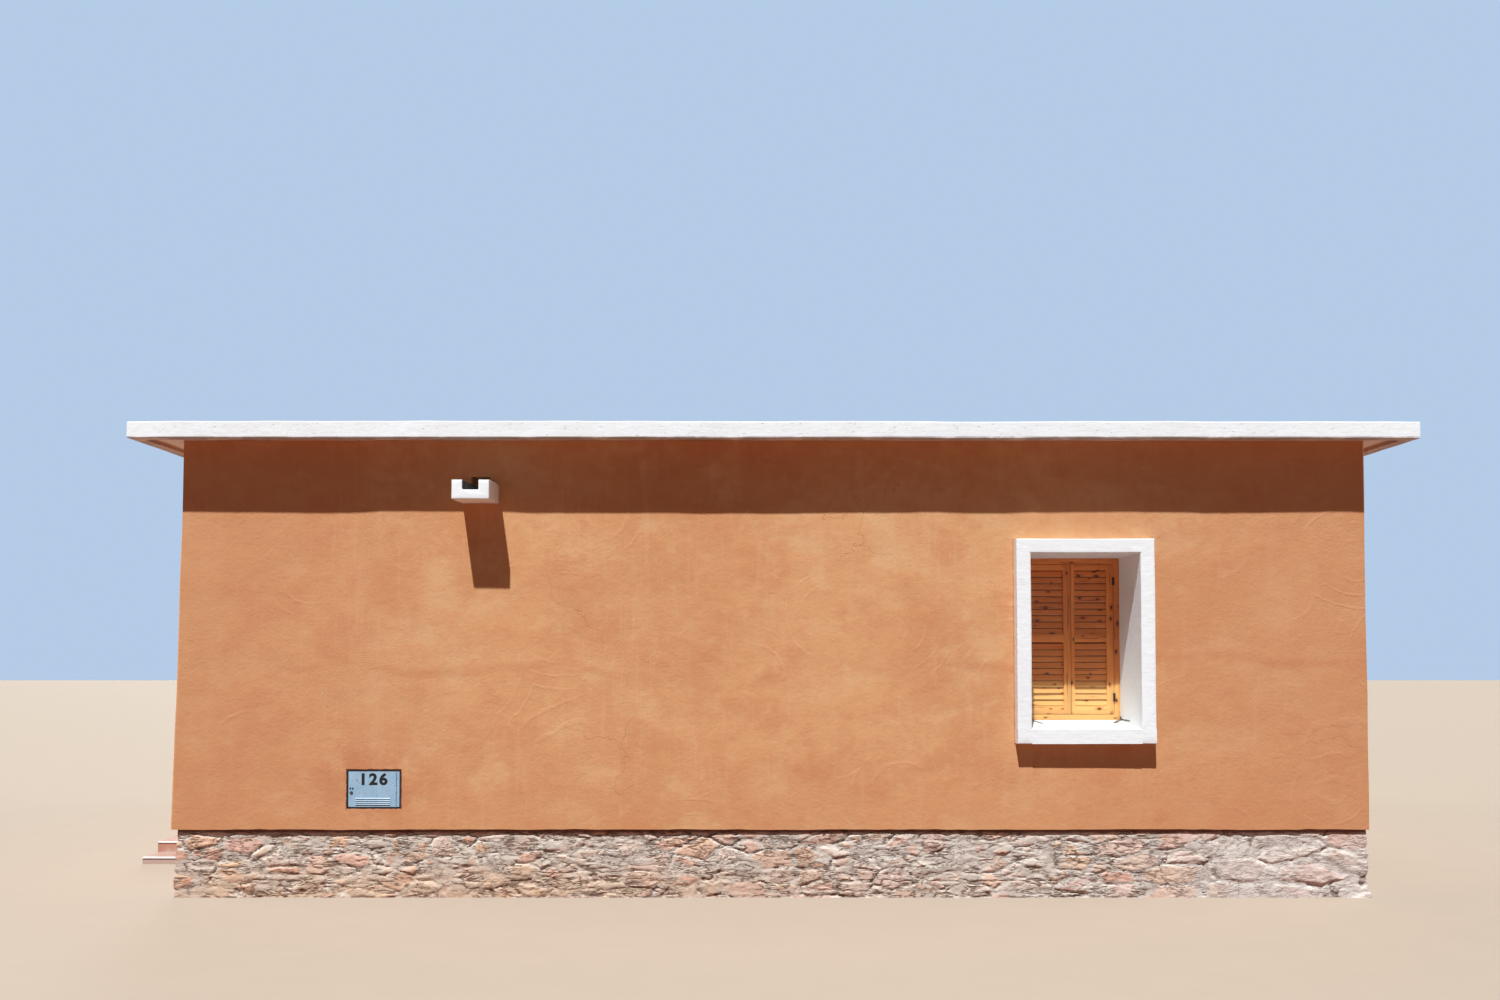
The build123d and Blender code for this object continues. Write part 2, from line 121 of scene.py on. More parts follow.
class Wire:
    # An output that Python's operators work on
    def __init__(self, sheet, socket):
        self.sheet = sheet
        self.socket = socket

    x, y, z = axisOf("X"), axisOf("Y"), axisOf("Z")
    __add__ = __radd__ = maths("ADD")
    __sub__, __rsub__ = maths("SUBTRACT"), maths("SUBTRACT", swapped=True)
    __mul__ = __rmul__ = maths("MULTIPLY")
    __truediv__ = maths("DIVIDE")
    atMost, atLeast = maths("MINIMUM"), maths("MAXIMUM")
    size, floor, fraction = maths("ABSOLUTE"), maths("FLOOR"), maths("FRACT")
    sine, radians = maths("SINE"), maths("RADIANS")

    def band(self, low, high):
        # 0 below low, 1 above high, or the other way round, with a soft change between
        values = {"Value": self, "From Min": low, "From Max": high}
        if not isinstance(low, Wire) and low > high:
            values.update({"From Min": high, "From Max": low, "To Min": 1.0, "To Max": 0.0})
        return self.sheet.add("ShaderNodeMapRange", values, interpolation_type="SMOOTHSTEP")

    def within(self, other, low, high, soft):
        # The same value, but only where the other one is between low and high
        return self * other.band(low - soft, low + soft) * other.band(high + soft, high - soft)


class Sheet:
    # A node tree; add() makes any node from its type, its sockets' values and its settings
    def __init__(self, tree):
        self.tree = tree
        self.place = None

    def add(self, kind, values={}, output=0, **settings):
        node = self.tree.nodes.new(kind)
        for key, value in settings.items():
            setattr(node, key, value)
        for key, value in values.items():
            self.feed(self.find(node.inputs, key), value)
        return Wire(self, self.find(node.outputs, output))

    def find(self, sockets, key):
        if isinstance(key, int):
            return sockets[key]
        return next(s for s in sockets if key in (s.identifier, s.name))

    def feed(self, socket, value):
        if isinstance(value, Wire):
            self.tree.links.new(value.socket, socket)
        elif isinstance(value, tuple) and len(value) == 3 and socket.type == "RGBA":
            socket.default_value = (*value, 1.0)
        else:
            socket.default_value = value

    def vector(self, name, *values, output=0):
        return self.add("ShaderNodeVectorMath", dict(enumerate(values)), output, operation=name)

    def scaled(self, vector, factor):
        return self.add("ShaderNodeVectorMath", {0: vector, "Scale": factor}, operation="SCALE")

    def point(self, **axes):
        return self.add("ShaderNodeCombineXYZ", {key.upper(): axes[key] for key in axes})

    def stretched(self, scale, shift=(0, 0, 0), place=None):
        return self.vector("MULTIPLY_ADD", place or self.place, scale, shift)

    def noise(self, scale, detail=3.0, rough=0.5, place=None, output=0):
        # A scale of three numbers is one for each axis
        if isinstance(scale, tuple):
            place, scale = self.stretched(scale, place=place), 1.0
        return self.add("ShaderNodeTexNoise", {"Vector": place or self.place, "Scale": scale,
                                               "Detail": detail, "Roughness": rough}, output)

    def cells(self, scale, feature="F1", place=None, output="Distance", loose=1.0):
        values = {"Vector": place or self.place, "Scale": scale, "Randomness": loose}
        return self.add("ShaderNodeTexVoronoi", values, output, feature=feature)

    def bent(self, scale, reach):
        # The place, pushed about by a noise
        push = self.noise(scale, 4, 0.55, output="Color")
        return self.vector("MULTIPLY_ADD", push, reach, self.place)

    def mix(self, share, first, second):
        values = {"Factor_Float": share, "A_Color": first, "B_Color": second}
        return self.add("ShaderNodeMix", values, "Result_Color", data_type="RGBA")

    def spot(self, centre, radii, soft=0.25):
        # 1 inside a round place, 0 outside
        away = self.vector("DIVIDE", self.vector("SUBTRACT", self.place, centre), radii)
        return self.vector("LENGTH", away, output="Value").band(1 + soft, 1 - soft)

    def stroke(self, start, end, radii, soft=0.25):
        # 1 along a short line between two places, 0 beyond the radii round it
        run = Vector(end) - Vector(start)
        run = Vector([run[i] / radii[i] for i in range(3)])
        away = self.vector("DIVIDE", self.vector("SUBTRACT", self.place, start), radii)
        along = self.vector("DOT_PRODUCT", away, tuple(run / run.length_squared), output="Value")
        nearest = self.scaled(tuple(run), along.atLeast(0.0).atMost(1.0))
        return self.vector("DISTANCE", away, nearest, output="Value").band(1 + soft, 1 - soft)


class Finish(Sheet):
    # One material round a Principled shader, whose fixed values are given by socket name
    def __init__(self, name, **fixed):
        self.material = bpy.data.materials.new(name)
        self.material.use_nodes = True
        super().__init__(self.material.node_tree)
        self.shader = self.tree.nodes["Principled BSDF"]
        for key, value in fixed.items():
            self.shader.inputs[key.replace("_", " ")].default_value = value
        self.place = self.add("ShaderNodeTexCoord", output="Object")
        self.colour = None

    def attribute(self, name):
        return self.add("ShaderNodeAttribute", output="Fac", attribute_name=name)

    def facing(self):
        return self.add("ShaderNodeTexCoord", output="Normal")

    def ramp(self, value, stops):
        colour = self.add("ShaderNodeValToRGB", {"Fac": value})
        elements = colour.socket.node.color_ramp.elements
        for position, shade in stops[1:-1]:
            elements.new(position)
        for element, (position, shade) in zip(elements, stops):
            element.position, element.color = position, (*shade, 1.0)
        return colour

    def lay(self, share, colour, over=None):
        # Covers a share of what is there, or of a colour to start from, with a colour
        self.colour = self.mix(share, over or self.colour, colour)

    def close(self, rough=None, bumps=()):
        # Feeds the shader its colour, its roughness, and bumps as (height, metres) pairs
        self.feed(self.shader.inputs["Base Color"], self.colour)
        if rough is not None:
            self.feed(self.shader.inputs["Roughness"], rough)
        normal = None
        for height, metres in bumps:
            values = {"Height": height, "Distance": metres, "Strength": 1.0}
            if normal:
                values["Normal"] = normal
            normal = self.add("ShaderNodeBump", values)
        if normal:
            self.feed(self.shader.inputs["Normal"], normal)
        return self


class Grower(Sheet):
    # A Geometry Nodes tree with named inputs; grow() runs it on a base and gives a plain mesh
    kinds = {float: "NodeSocketFloat", int: "NodeSocketInt", tuple: "NodeSocketVector"}

    def __init__(self, name, **inputs):
        super().__init__(bpy.data.node_groups.new(name, "GeometryNodeTree"))
        self.socket("base", "INPUT", "NodeSocketGeometry")
        for key, value in inputs.items():
            self.socket(key, "INPUT", self.kinds[type(value)]).default_value = value
        self.socket("result", "OUTPUT", "NodeSocketGeometry")
        start = self.tree.nodes.new("NodeGroupInput")
        self.given = {key: Wire(self, self.find(start.outputs, key)) for key in ("base", *inputs)}
        self.place = self.add("GeometryNodeInputPosition")

    def socket(self, name, side, kind):
        return self.tree.interface.new_socket(name, in_out=side, socket_type=kind)

    def random(self, low, high, seed):
        values = {"Min_001": low, "Max_001": high, "Seed": seed}
        return self.add("FunctionNodeRandomValue", values, "Value_001", data_type="FLOAT")

    def store(self, geometry, name, value, domain="POINT"):
        values = {"Geometry": geometry, "Name": name, "Value": value}
        return self.add("GeometryNodeStoreNamedAttribute", values, data_type="FLOAT", domain=domain)

    def moved(self, geometry, offset):
        return self.add("GeometryNodeSetPosition", {"Geometry": geometry, "Offset": offset})

    def scattered(self, points, piece, angles, **values):
        # The piece at each point, turned by three angles
        turn = self.add("FunctionNodeEulerToRotation", {"Euler": angles})
        values.update({"Points": points, "Instance": piece, "Rotation": turn})
        return self.add("GeometryNodeInstanceOnPoints", values)

    def end(self, geometry, finish):
        whole = self.add("GeometryNodeRealizeInstances", {"Geometry": geometry})
        values = {"Geometry": whole, "Material": finish.material}
        whole = self.add("GeometryNodeSetMaterial", values)
        self.feed(self.tree.nodes.new("NodeGroupOutput").inputs[0], whole)
        return self

    def grow(self, name, base, **values):
        holder = placed(name, base)
        modifier = holder.modifiers.new("grow", "NODES")
        modifier.node_group = self.tree
        for item in self.tree.interface.items_tree:
            if item.in_out == "INPUT" and item.name in values:
                modifier[item.identifier] = values[item.name]
        return plainMesh(holder, name)


# Floor and backdrop: what the camera sees of them isn't what lights the house

stageLook = {"reach": 60, "floorSeen": (0.4, 0.33, 0.262), "floorLit": (0.205, 0.09, 0.062),
             "sky": (0.46, 0.6, 0.8), "daylight": (0.94, 0.99, 1.06), "daylightLevel": 0.1}


def seenDirectly(sheet):
    # 1 for rays from the camera, and for those that metal or glass sends on
    rays = [sheet.add("ShaderNodeLightPath", output=f"Is {kind} Ray")
            for kind in ("Camera", "Glossy", "Transmission")]
    return rays[0].atLeast(rays[1]).atLeast(rays[2])


reach = stageLook["reach"]
floorMesh = bpy.data.meshes.new("floor")
floorMesh.from_pydata([(x * reach, y * reach, 0) for x, y in ((-1, -1), (1, -1), (1, 1), (-1, 1))],
                      [], [(0, 1, 2, 3)])
floor = placed("floor", floorMesh)
floorFinish = Finish("paleFloor", Roughness=0.95, Specular_IOR_Level=0.1)
floorFinish.lay(floorFinish.noise(3.0, 6).band(0.3, 0.7) * 0.1,
                tuple(c * 0.85 for c in stageLook["floorSeen"]), over=stageLook["floorSeen"])
floorFinish.lay(seenDirectly(floorFinish), floorFinish.colour, over=stageLook["floorLit"])
floorMesh.materials.append(floorFinish.close().material)
floor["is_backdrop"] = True

world = bpy.data.worlds.new("backdrop")
scene.world = world
world.use_nodes = True
sky = Sheet(world.node_tree)
shades = [sky.add("ShaderNodeBackground", {"Color": colour, "Strength": strength})
          for colour, strength in ((stageLook["daylight"], stageLook["daylightLevel"]),
                                   (stageLook["sky"], 1.0))]
mixedSky = sky.add("ShaderNodeMixShader", {0: seenDirectly(sky), 1: shades[0], 2: shades[1]})
sky.feed(world.node_tree.nodes["World Output"].inputs["Surface"], mixedSky)
print("camera, lamps and floor ready")


# Materials: each lays colours one over another, by shares between 0 and 1

def trowelSweeps(finish):
    # Curved strokes of a trowel, each about a middle of its own
    turns = finish.stretched((1.3, 1.3, 1.5))
    middle = finish.cells(1.0, place=turns, output="Position")
    away = finish.vector("LENGTH", finish.vector("SUBTRACT", turns, middle), output="Value")
    rings = (away * 46 + finish.noise(2.4) * 9).sine()
    return rings.band(0.72, 1.0) * finish.noise(1.9).band(0.53, 0.66)


def trowelScuffs(finish):
    # Short level scratches where the trowel caught, in loose groups
    lines = finish.noise((5, 5, 44), 3, 0.6)
    groups = finish.noise(1.7, 2).band(0.5, 0.64) * finish.noise(9.0).band(0.52, 0.6)
    return (lines - 0.5).size().band(0.026, 0.004) * groups


def beyond(finish, middle, half):
    # How far a place on the front is outside a rectangle, from its middle and half its size
    away = finish.vector("SUBTRACT", finish.place, (middle[0], 0, middle[1]))
    away = finish.vector("ABSOLUTE", away)
    outside = (away.x - half[0]).atLeast(away.z - half[1])
    return outside + finish.place.y.band(-2.7, -2.6)


# on the front, in metres: the middles and half sizes of what the render runs up to, the middle
# and radii of a damp place, and the level of the joint between two days' work
renderLook = {"meterBox": ((-2.738, 0.741), (0.184, 0.13)),
              "window": ((2.14, 1.7575), (0.472, 0.6995)),
              "damp": ((-2.72, -2.8, 0.8), (0.36, 0.3, 0.27)), "joint": 1.12}


def makeEarthRender():
    finish = Finish("earthRender", Roughness=0.93, Specular_IOR_Level=0.2)
    lay, noise, place = finish.lay, finish.noise, finish.place
    clouds = noise(0.8, 5, 0.6)
    blotches = noise((2.4, 2.4, 3.6), 4, 0.6)
    patches = noise(7.0, 4, 0.6)
    streaks = noise((17, 17, 1.7), 3, 0.55)
    combed = noise((62, 62, 2.6), 2).band(0.52, 0.68)
    combed = combed * noise(1.6, 2).band(0.47, 0.62)
    sweeps, scuffs = trowelSweeps(finish), trowelScuffs(finish)
    grain = noise(230, 3, 0.6)
    lay(clouds.band(0.34, 0.66), (0.702, 0.386, 0.183), over=(0.627, 0.312, 0.144))
    lay(blotches.band(0.5, 0.68) * 0.6, (0.614, 0.268, 0.125))
    lay(blotches.band(0.48, 0.32) * 0.6, (0.728, 0.456, 0.237))
    lay(patches.band(0.52, 0.68) * 0.3, (0.605, 0.263, 0.123))
    lay(patches.band(0.46, 0.32) * 0.3, (0.728, 0.465, 0.232))
    lay(streaks.band(0.54, 0.74) * 0.26, (0.746, 0.447, 0.259))
    lay(combed * 0.2, (0.754, 0.456, 0.263))
    lay(sweeps * 0.2, (0.754, 0.456, 0.263))
    lay(scuffs * 0.16, (0.491, 0.219, 0.105))
    lay(place.x.size().band(1.6, 4.0) * 0.55, (0.583, 0.272, 0.133))  # the ends are redder
    # the joint between two days' work, and redder render low down and round the meter box
    wander = noise(0.45, 3, place=finish.stretched((1, 1, 0)))
    joint = (place.z - wander * 0.9 - renderLook["joint"]).size()
    joint = joint.band(0.055, 0.004) * noise(1.3).band(0.44, 0.6)
    lay(joint * 0.4, (0.544, 0.211, 0.095))
    lay(place.z.band(1.15, 0.5) * clouds.band(0.36, 0.6) * 0.4, (0.57, 0.23, 0.104))
    damp = finish.spot(*renderLook["damp"], 0.5) * patches.band(0.3, 0.6)
    lay(damp * 0.55, (0.544, 0.215, 0.104))
    lay(grain.band(0.35, 0.75) * 0.16, (0.456, 0.202, 0.096))
    cracks = finish.cells(0.75, "DISTANCE_TO_EDGE", finish.bent(2.6, (0.55, 0.55, 0.55)))
    parts = noise(0.6, 1, place=finish.stretched((1, 1, 1), (7, 3, 1)))
    cracks = cracks.band(0.0026, 0.0008) * parts.band(0.58, 0.64)
    lay(cracks * 0.25, (0.298, 0.123, 0.061))
    # the wide joint round the meter box, painted nearly black as the shade in it, and the tight one round
    # the window
    ragged = noise(24)
    box = (beyond(finish, *renderLook["meterBox"]) + ragged * 0.014).band(0.0155, 0.0105)
    lay(box * 0.92, (0.075, 0.026, 0.018))
    tight = (beyond(finish, *renderLook["window"]) + ragged * 0.012).band(0.018, 0.01)
    lay(tight * 0.55, (0.439, 0.145, 0.066))
    return finish.close(bumps=[
        (blotches, 0.006), (patches, 0.0022), (sweeps, 0.0008), (combed, 0.0004),
        (scuffs, 0.0004), (noise(46, 4, 0.6), 0.0018), (grain, 0.0009),
        (1 - cracks, 0.0008), (1 - box, 0.003),
    ])


paintLook = {
    # levels in metres: where the coping starts, its drip edge, its inner lip, the roof
    "coping": (3.0, 3.05), "drip": (3.136, 3.129), "lip": (3.154, 3.15), "roof": (2.6, 2.8),
    # the spout's channel: its middle and half its width along X, its foot and top, where it ends
    "spout": {"middle": 2.02, "half": 0.0545, "foot": 2.7725, "top": 2.9025, "end": (-2.3, -2.35)},
    # strokes of near-black marks in the sill's back corners: start, end and radii of each
    "darkMarks": [((1.88, -2.43, 1.193), (1.908, -2.57, 1.181), (0.01, 0.035, 0.03)),
             ((2.43, -2.56, 1.182), (2.51, -2.43, 1.194), (0.009, 0.03, 0.03)),
             ((2.515, -2.43, 1.197), (2.515, -2.61, 1.198), (0.02, 0.02, 0.0065))],
}


def makeWhitePaint():
    finish = Finish("whitePaint", Roughness=0.75, Specular_IOR_Level=0.3)
    lay, noise, place = finish.lay, finish.noise, finish.place
    clouds = noise(2.2, 5, 0.6)
    brushed = noise((7, 7, 70), 4, 0.55)
    flecks = noise((24, 24, 90), 3, 0.6)
    pits = finish.cells(75)
    lay(clouds.band(0.35, 0.7), (0.86, 0.918, 0.936), over=(0.885, 0.948, 0.966))
    lay(noise(7, 6, 0.65).band(0.6, 0.7) * 0.25, (0.77, 0.755, 0.73))
    onCoping = place.z.band(*paintLook["coping"])
    lay(flecks.band(0.64, 0.69) * (onCoping * 0.55 + 0.08), (0.36, 0.32, 0.28))
    drip = place.z.band(*paintLook["drip"]) * onCoping
    lay(drip * noise(5, 4, 0.6).band(0.25, 0.55) * 0.65, (0.27, 0.22, 0.19))
    # the inner side of the coping's lip is darker red-brown
    inward = (finish.facing().x * place.x).band(-2.2, -3.2)
    inward = inward.atLeast((finish.facing().y * place.y).band(-1.6, -2.3))
    lay(inward * onCoping * place.z.band(*paintLook["lip"]) * 0.75, (0.36, 0.15, 0.1))
    # dust lies on what faces up
    high = place.z.band(*paintLook["roof"])
    stains = noise(1.3, 6, 0.62).band(0.38, 0.62)
    dust = finish.facing().z.band(0.55, 0.95) * (clouds * 0.4 + 0.75) * (high * 0.32 + 0.6)
    onRoof = finish.mix(stains, (0.405, 0.385, 0.35), (0.34, 0.315, 0.28))
    lay(dust, finish.mix(high, (0.55, 0.53, 0.5), onRoof))
    # the spout's channel is nearly black: grime, and painted shade in the deep channel; and the sill's two
    # back corners have near-black marks
    spout = paintLook["spout"]
    inside = (place.x + spout["middle"]).size().band(spout["half"] + 0.001, spout["half"] - 0.001)
    inside = inside.within(place.z, spout["foot"], spout["top"], 0.0025)
    inside = inside * place.y.band(*spout["end"])
    lay(inside * (noise(22, 4) * 0.2 + 0.84), (0.022, 0.016, 0.014))
    strokes = [finish.stroke(*stroke) for stroke in paintLook["darkMarks"]]
    cornerMarks = strokes[0].atLeast(strokes[1]).atLeast(strokes[2])
    cornerMarks = cornerMarks * noise(60).band(0.34, 0.42)
    lay(cornerMarks * 0.95, (0.05, 0.05, 0.05))
    return finish.close(bumps=[
        (noise(14, 4, 0.6), 0.0035), (brushed, 0.0008), (pits.band(0.0, 0.28), 0.0006),
        (noise(180, 2), 0.0004), (1 - cornerMarks, 0.002),
    ])


def stoneLayers(sheet):
    # The beds of the stones: what the plinth's ledges and its dark lines both follow
    return sheet.noise((3.6, 3.6, 18), 3, 0.52)


def makeRubble():
    finish = Finish("rubbleStone", Roughness=0.92, Specular_IOR_Level=0.2)
    lay, noise, place = finish.lay, finish.noise, finish.place
    tone, share, gap = (finish.attribute(name) for name in ("stoneTone", "stoneShare", "gapShare"))
    mottle = noise(19, 5, 0.65)
    spots = noise(75, 4, 0.6)
    finish.colour = finish.ramp(tone, [
        (0.00, (0.596, 0.5, 0.412)), (0.18, (0.737, 0.465, 0.307)), (0.32, (0.684, 0.561, 0.465)),
        (0.46, (0.772, 0.526, 0.333)), (0.6, (0.702, 0.439, 0.351)), (0.72, (0.737, 0.623, 0.526)),
        (0.86, (0.649, 0.316, 0.202)), (1.00, (0.789, 0.667, 0.553)),
    ])
    lay(mottle.band(0.52, 0.74) * 0.6, (0.737, 0.64, 0.553))
    lay(mottle.band(0.43, 0.27) * 0.55, (0.421, 0.211, 0.14))
    mortar = finish.mix(noise(8, 6, 0.65).band(0.35, 0.7),
                        (0.544, 0.478, 0.404), (0.702, 0.627, 0.544))
    mortar = finish.mix(spots.band(0.5, 0.75) * 0.35, mortar, (0.439, 0.36, 0.289))
    edge = (share + noise(48, 4, 0.7) * 0.5 - 0.25).band(0.36, 0.62)
    lay(edge, finish.colour, over=mortar)
    lay(spots.band(0.6, 0.8) * 0.2, (0.246, 0.175, 0.14))
    # pale slabs towards the right end, and earth washed up on the foot
    pale = place.x.band(2.5, 3.2) * noise(3.1).band(0.32, 0.5)
    lay(pale * 0.55, (0.772, 0.711, 0.658))
    lay(place.x.band(-2.5, 1.0) * 0.22, (0.649, 0.632, 0.614))
    foot = place.z.band(0.3, 0.04) * noise(6, 5, 0.6).band(0.25, 0.55)
    lay(foot * place.x.band(3.0, -2.0) * 0.72, (0.64, 0.439, 0.289))
    # thin dark lines along the layers of the stones, in places: cracks, with painted shade in them
    layers = stoneLayers(finish)
    fine = noise((10, 10, 34), 5, 0.62)
    grit = noise((34, 34, 60), 5, 0.7)
    shares = [noise(6.5, place=finish.stretched((1, 1, 1), shift)).band(low, low + 0.08)
              for low, shift in ((0.46, (0, 0, 0)), (0.49, (5, 2, 1)),
                                 (0.49, (2, 7, 4)), (0.46, (8, 3, 6)))]
    lines = (layers - 0.5).size().band(0.03, 0.008) * shares[0]
    for level, where in ((0.41, shares[1]), (0.59, shares[2])):
        lines = lines.atLeast((layers - level).size().band(0.024, 0.006) * where)
    lines = lines.atLeast((fine - 0.5).size().band(0.02, 0.004) * shares[3] * 0.75)
    lines = lines * (1 - place.x.band(2.4, 3.2) * 0.45)
    lay(grit.band(0.52, 0.7) * 0.42, (0.368, 0.254, 0.184))
    lay(grit.band(0.46, 0.3) * 0.3, (0.789, 0.719, 0.64))
    # the lines and the gaps between stones are dark: cracks, and painted shade in the crevices
    lay(lines.atLeast(gap.band(0.45, 0.9) * 0.8) * 0.82, (0.132, 0.07, 0.044))
    # painted shadow under the render's edge: a dark band along the plinth's top
    joint = place.z + noise(9, 4, 0.6) * 0.036
    lay(joint.band(0.452, 0.466) * 0.85, (0.175, 0.075, 0.044))
    return finish.close(bumps=[(noise(26, 5, 0.65), 0.006), (1 - lines, 0.003),
                               (fine, 0.0015), (grit, 0.005), (spots, 0.0015)])


# below these levels the wood is painted lighter and yellower, as sunlit
woodLook = {"sunlitPaint": (1.51, 1.41)}  # the levels between which the sun starts to reach the wood


def makeWood(name, pale, sunlitPaint, dark, knotSize, rough):
    # Varnished boards, whose grain runs along X, or up where the faces say so
    finish = Finish(name, Roughness=rough, Coat_Weight=0.12, Coat_Roughness=0.35)
    upright, shift = finish.attribute("upright"), finish.attribute("grainShift")
    x, y, z = finish.place.x, finish.place.y, finish.place.z
    sideways = finish.facing().x.size().band(0.4, 0.6)
    along = (x + y * sideways) * (1 - upright) + z * upright + shift * 3.7
    across = z * (1 - upright) + (x + y) * upright + shift * 1.9
    board = finish.point(x=along, y=y, z=across)
    wander = finish.noise((2.2, 9, 9), 2, 0.5, board)
    fibres = finish.noise((9, 260, 260), 4, 0.6, board)
    rings = finish.add("ShaderNodeTexWave", {
        "Vector": finish.stretched((1.6, 20, 38), place=board), "Scale": 1.0, "Distortion": 5.5,
        "Detail": 2.0, "Detail Scale": 0.6,
    }, "Fac", wave_type="BANDS", bands_direction="Z", wave_profile="SAW")

    def darker(factor):
        return tuple(c * factor for c in dark)

    def lay(share, colour=dark):
        finish.lay(share, colour)

    between = tuple(p * 0.6 + d * 0.4 for p, d in zip(pale, dark))
    finish.lay(wander.band(0.3, 0.7), between, over=pale)
    # painted sunlight: lighter, yellower wood where the sun reaches the foot
    lay(z.band(*woodLook["sunlitPaint"]) * 0.75, sunlitPaint)
    lay((shift * 7.31).fraction() * 0.22)
    lay(rings.band(0.5, 1.0) * 0.42)
    lay(fibres.band(0.5, 0.75) * 0.3)
    streaks = finish.noise(1.0, 3, 0.6, finish.stretched((2.6, 30, 55), (4, 1, 7), board))
    lay(streaks.band(0.6, 0.7) * 0.75, darker(0.4))
    # knots, each in a cell of its own; some cells have none
    inKnots = finish.point(x=along * 9.0 + 0.35, y=across * 17 + 0.6)
    near = finish.add("ShaderNodeTexVoronoi", {"Vector": inKnots, "Scale": 1.0},
                      voronoi_dimensions="2D")
    cellColour = Wire(finish, near.socket.node.outputs["Color"])
    chosen = cellColour.x.band(0.55, 0.57)
    ragged = (finish.noise(170, 2) - 0.5) * knotSize * 0.9
    near = (near + ragged) / (cellColour.y * 0.9 + 0.45)
    knots = near.band(knotSize * 1.5, knotSize * 0.7) * chosen
    lay(near.band(knotSize * 3.6, knotSize) * chosen * 0.55)
    lay(knots * 0.95, darker(0.08))
    # painted shade in the seams between slats, with some dirt; less of it at the sunlit foot
    seams = finish.attribute("seam").band(0.35, 0.95)
    lay(seams * (z.band(*reversed(woodLook["sunlitPaint"])) * 0.34 + 0.54), darker(0.14))
    return finish.close(wander.band(0.2, 0.8) * 0.12 + rough - 0.04,
                        [(rings, 0.0003), (fibres, 0.0003), (1 - knots, 0.0005)])


# the meter door's vents: level of the lowest, pitch, height of a hood, where the rows start and
# end, their middle and half their length along X; and where its frame rusts
steelLook = {"foot": 0.636, "pitch": 0.013, "hood": 0.0072, "rows": (0.628, 0.6825),
             "middle": 2.745, "half": 0.12, "rust": (0.65, 0.62)}


def makeBlueSteel():
    finish = Finish("blueSteel", Roughness=0.45)
    lay, noise, place = finish.lay, finish.noise, finish.place
    clouds = noise(9, 5, 0.6)
    runs = noise((70, 70, 5), 3)
    chips = noise(42, 5, 0.6).band(0.655, 0.68)
    rust = place.z.band(*steelLook["rust"]) * noise(30, 5, 0.7).band(0.54, 0.62)
    lay(clouds.band(0.3, 0.7), (0.351, 0.526, 0.671), over=(0.289, 0.469, 0.623))
    lay(runs.band(0.55, 0.75) * 0.35, (0.456, 0.544, 0.596))
    lay(runs.band(0.44, 0.3) * 0.28, (0.175, 0.281, 0.377))
    lay(rust * 0.45, (0.298, 0.175, 0.114))
    lay(chips * 0.8, (0.175, 0.096, 0.061))
    # painted shadow under the hoods of the vents
    share = steelLook["hood"] / steelLook["pitch"]
    under = ((place.z - steelLook["foot"]) / steelLook["pitch"]).fraction()
    under = under.band(share - 0.06, share + 0.06).within(place.z, *steelLook["rows"], 0.0005)
    ends = (place.x + steelLook["middle"]).size()
    under = under * ends.band(steelLook["half"] + 0.0005, steelLook["half"] - 0.0005)
    under = under * place.y.band(-2.79, -2.8)
    # painted shade: the proud hoods are darker blue, against the light their tops catch
    lay(place.y.band(-2.8003, -2.801) * place.x.band(-2.61, -2.62) * 0.65, (0.193, 0.289, 0.368))
    lay(under * 0.6, (0.07, 0.114, 0.158))
    return finish.close(clouds.band(0.2, 0.8) * 0.2 + 0.36 + chips * 0.3,
                        [(noise(60), 0.0004), (1 - chips, 0.0003)])


def makeMetal(name, colour, metallic, rough, rust=0.5):
    finish = Finish(name, Roughness=rough, Metallic=metallic)
    worn = finish.noise(65, 5, 0.65)
    finish.lay(worn.band(0.62, 0.72) * rust, (0.19, 0.08, 0.04), over=colour)
    finish.lay(worn.band(0.45, 0.3) * 0.4, tuple(c * 2.0 + 0.003 for c in colour))
    return finish.close(worn * 0.3 + rough - 0.1, [(worn, 0.0005)])


def makeTerracotta():
    finish = Finish("terracotta", Roughness=0.85, Specular_IOR_Level=0.3)
    lay, noise = finish.lay, finish.noise
    clouds = noise(8, 5, 0.6)
    dust = noise(3.2, 6, 0.65)
    lay(finish.attribute("tileTone"), (0.57, 0.333, 0.263), over=(0.482, 0.25, 0.18))
    lay(clouds.band(0.4, 0.7) * 0.5, (0.456, 0.193, 0.123))
    lay(noise(120).band(0.55, 0.75) * 0.3, (0.333, 0.149, 0.096))
    dust = (dust + finish.place.z.band(0.075, 0.02) * 0.26).band(0.5, 0.66)
    lay(dust * 0.7, (0.526, 0.452, 0.39))
    lay(finish.facing().z.band(0.6, 0.9) * 0.45, (0.263, 0.132, 0.092))  # painted shade: the treads' tops are darker, against the strong light from above
    return finish.close(bumps=[(noise(40, 4), 0.0015), (noise(260, 2), 0.0005)])


def makeConcrete(name, pale, dark, stain):
    finish = Finish(name, Roughness=0.9, Specular_IOR_Level=0.3)
    clouds = finish.noise(0.9, 7, 0.62)
    sweeps = finish.noise((3, 9, 3), 4, 0.55)
    pits = finish.cells(60)
    finish.lay(clouds.band(0.32, 0.68), dark, over=pale)
    finish.lay(sweeps.band(0.55, 0.75) * 0.3, stain)
    finish.lay(finish.noise(140).band(0.5, 0.8) * 0.3, tuple(c * 0.6 for c in dark))
    cracks = finish.cells(0.55, "DISTANCE_TO_EDGE", finish.bent(2.5, (0.8, 0.8, 0.8)))
    cracks = cracks.band(0.003, 0.001)
    finish.lay(cracks * 0.4, (0.12, 0.1, 0.08))
    return finish.close(bumps=[(clouds, 0.006), (pits.band(0.0, 0.3), 0.0008),
                               (finish.noise(90), 0.0009), (1 - cracks, 0.001)])


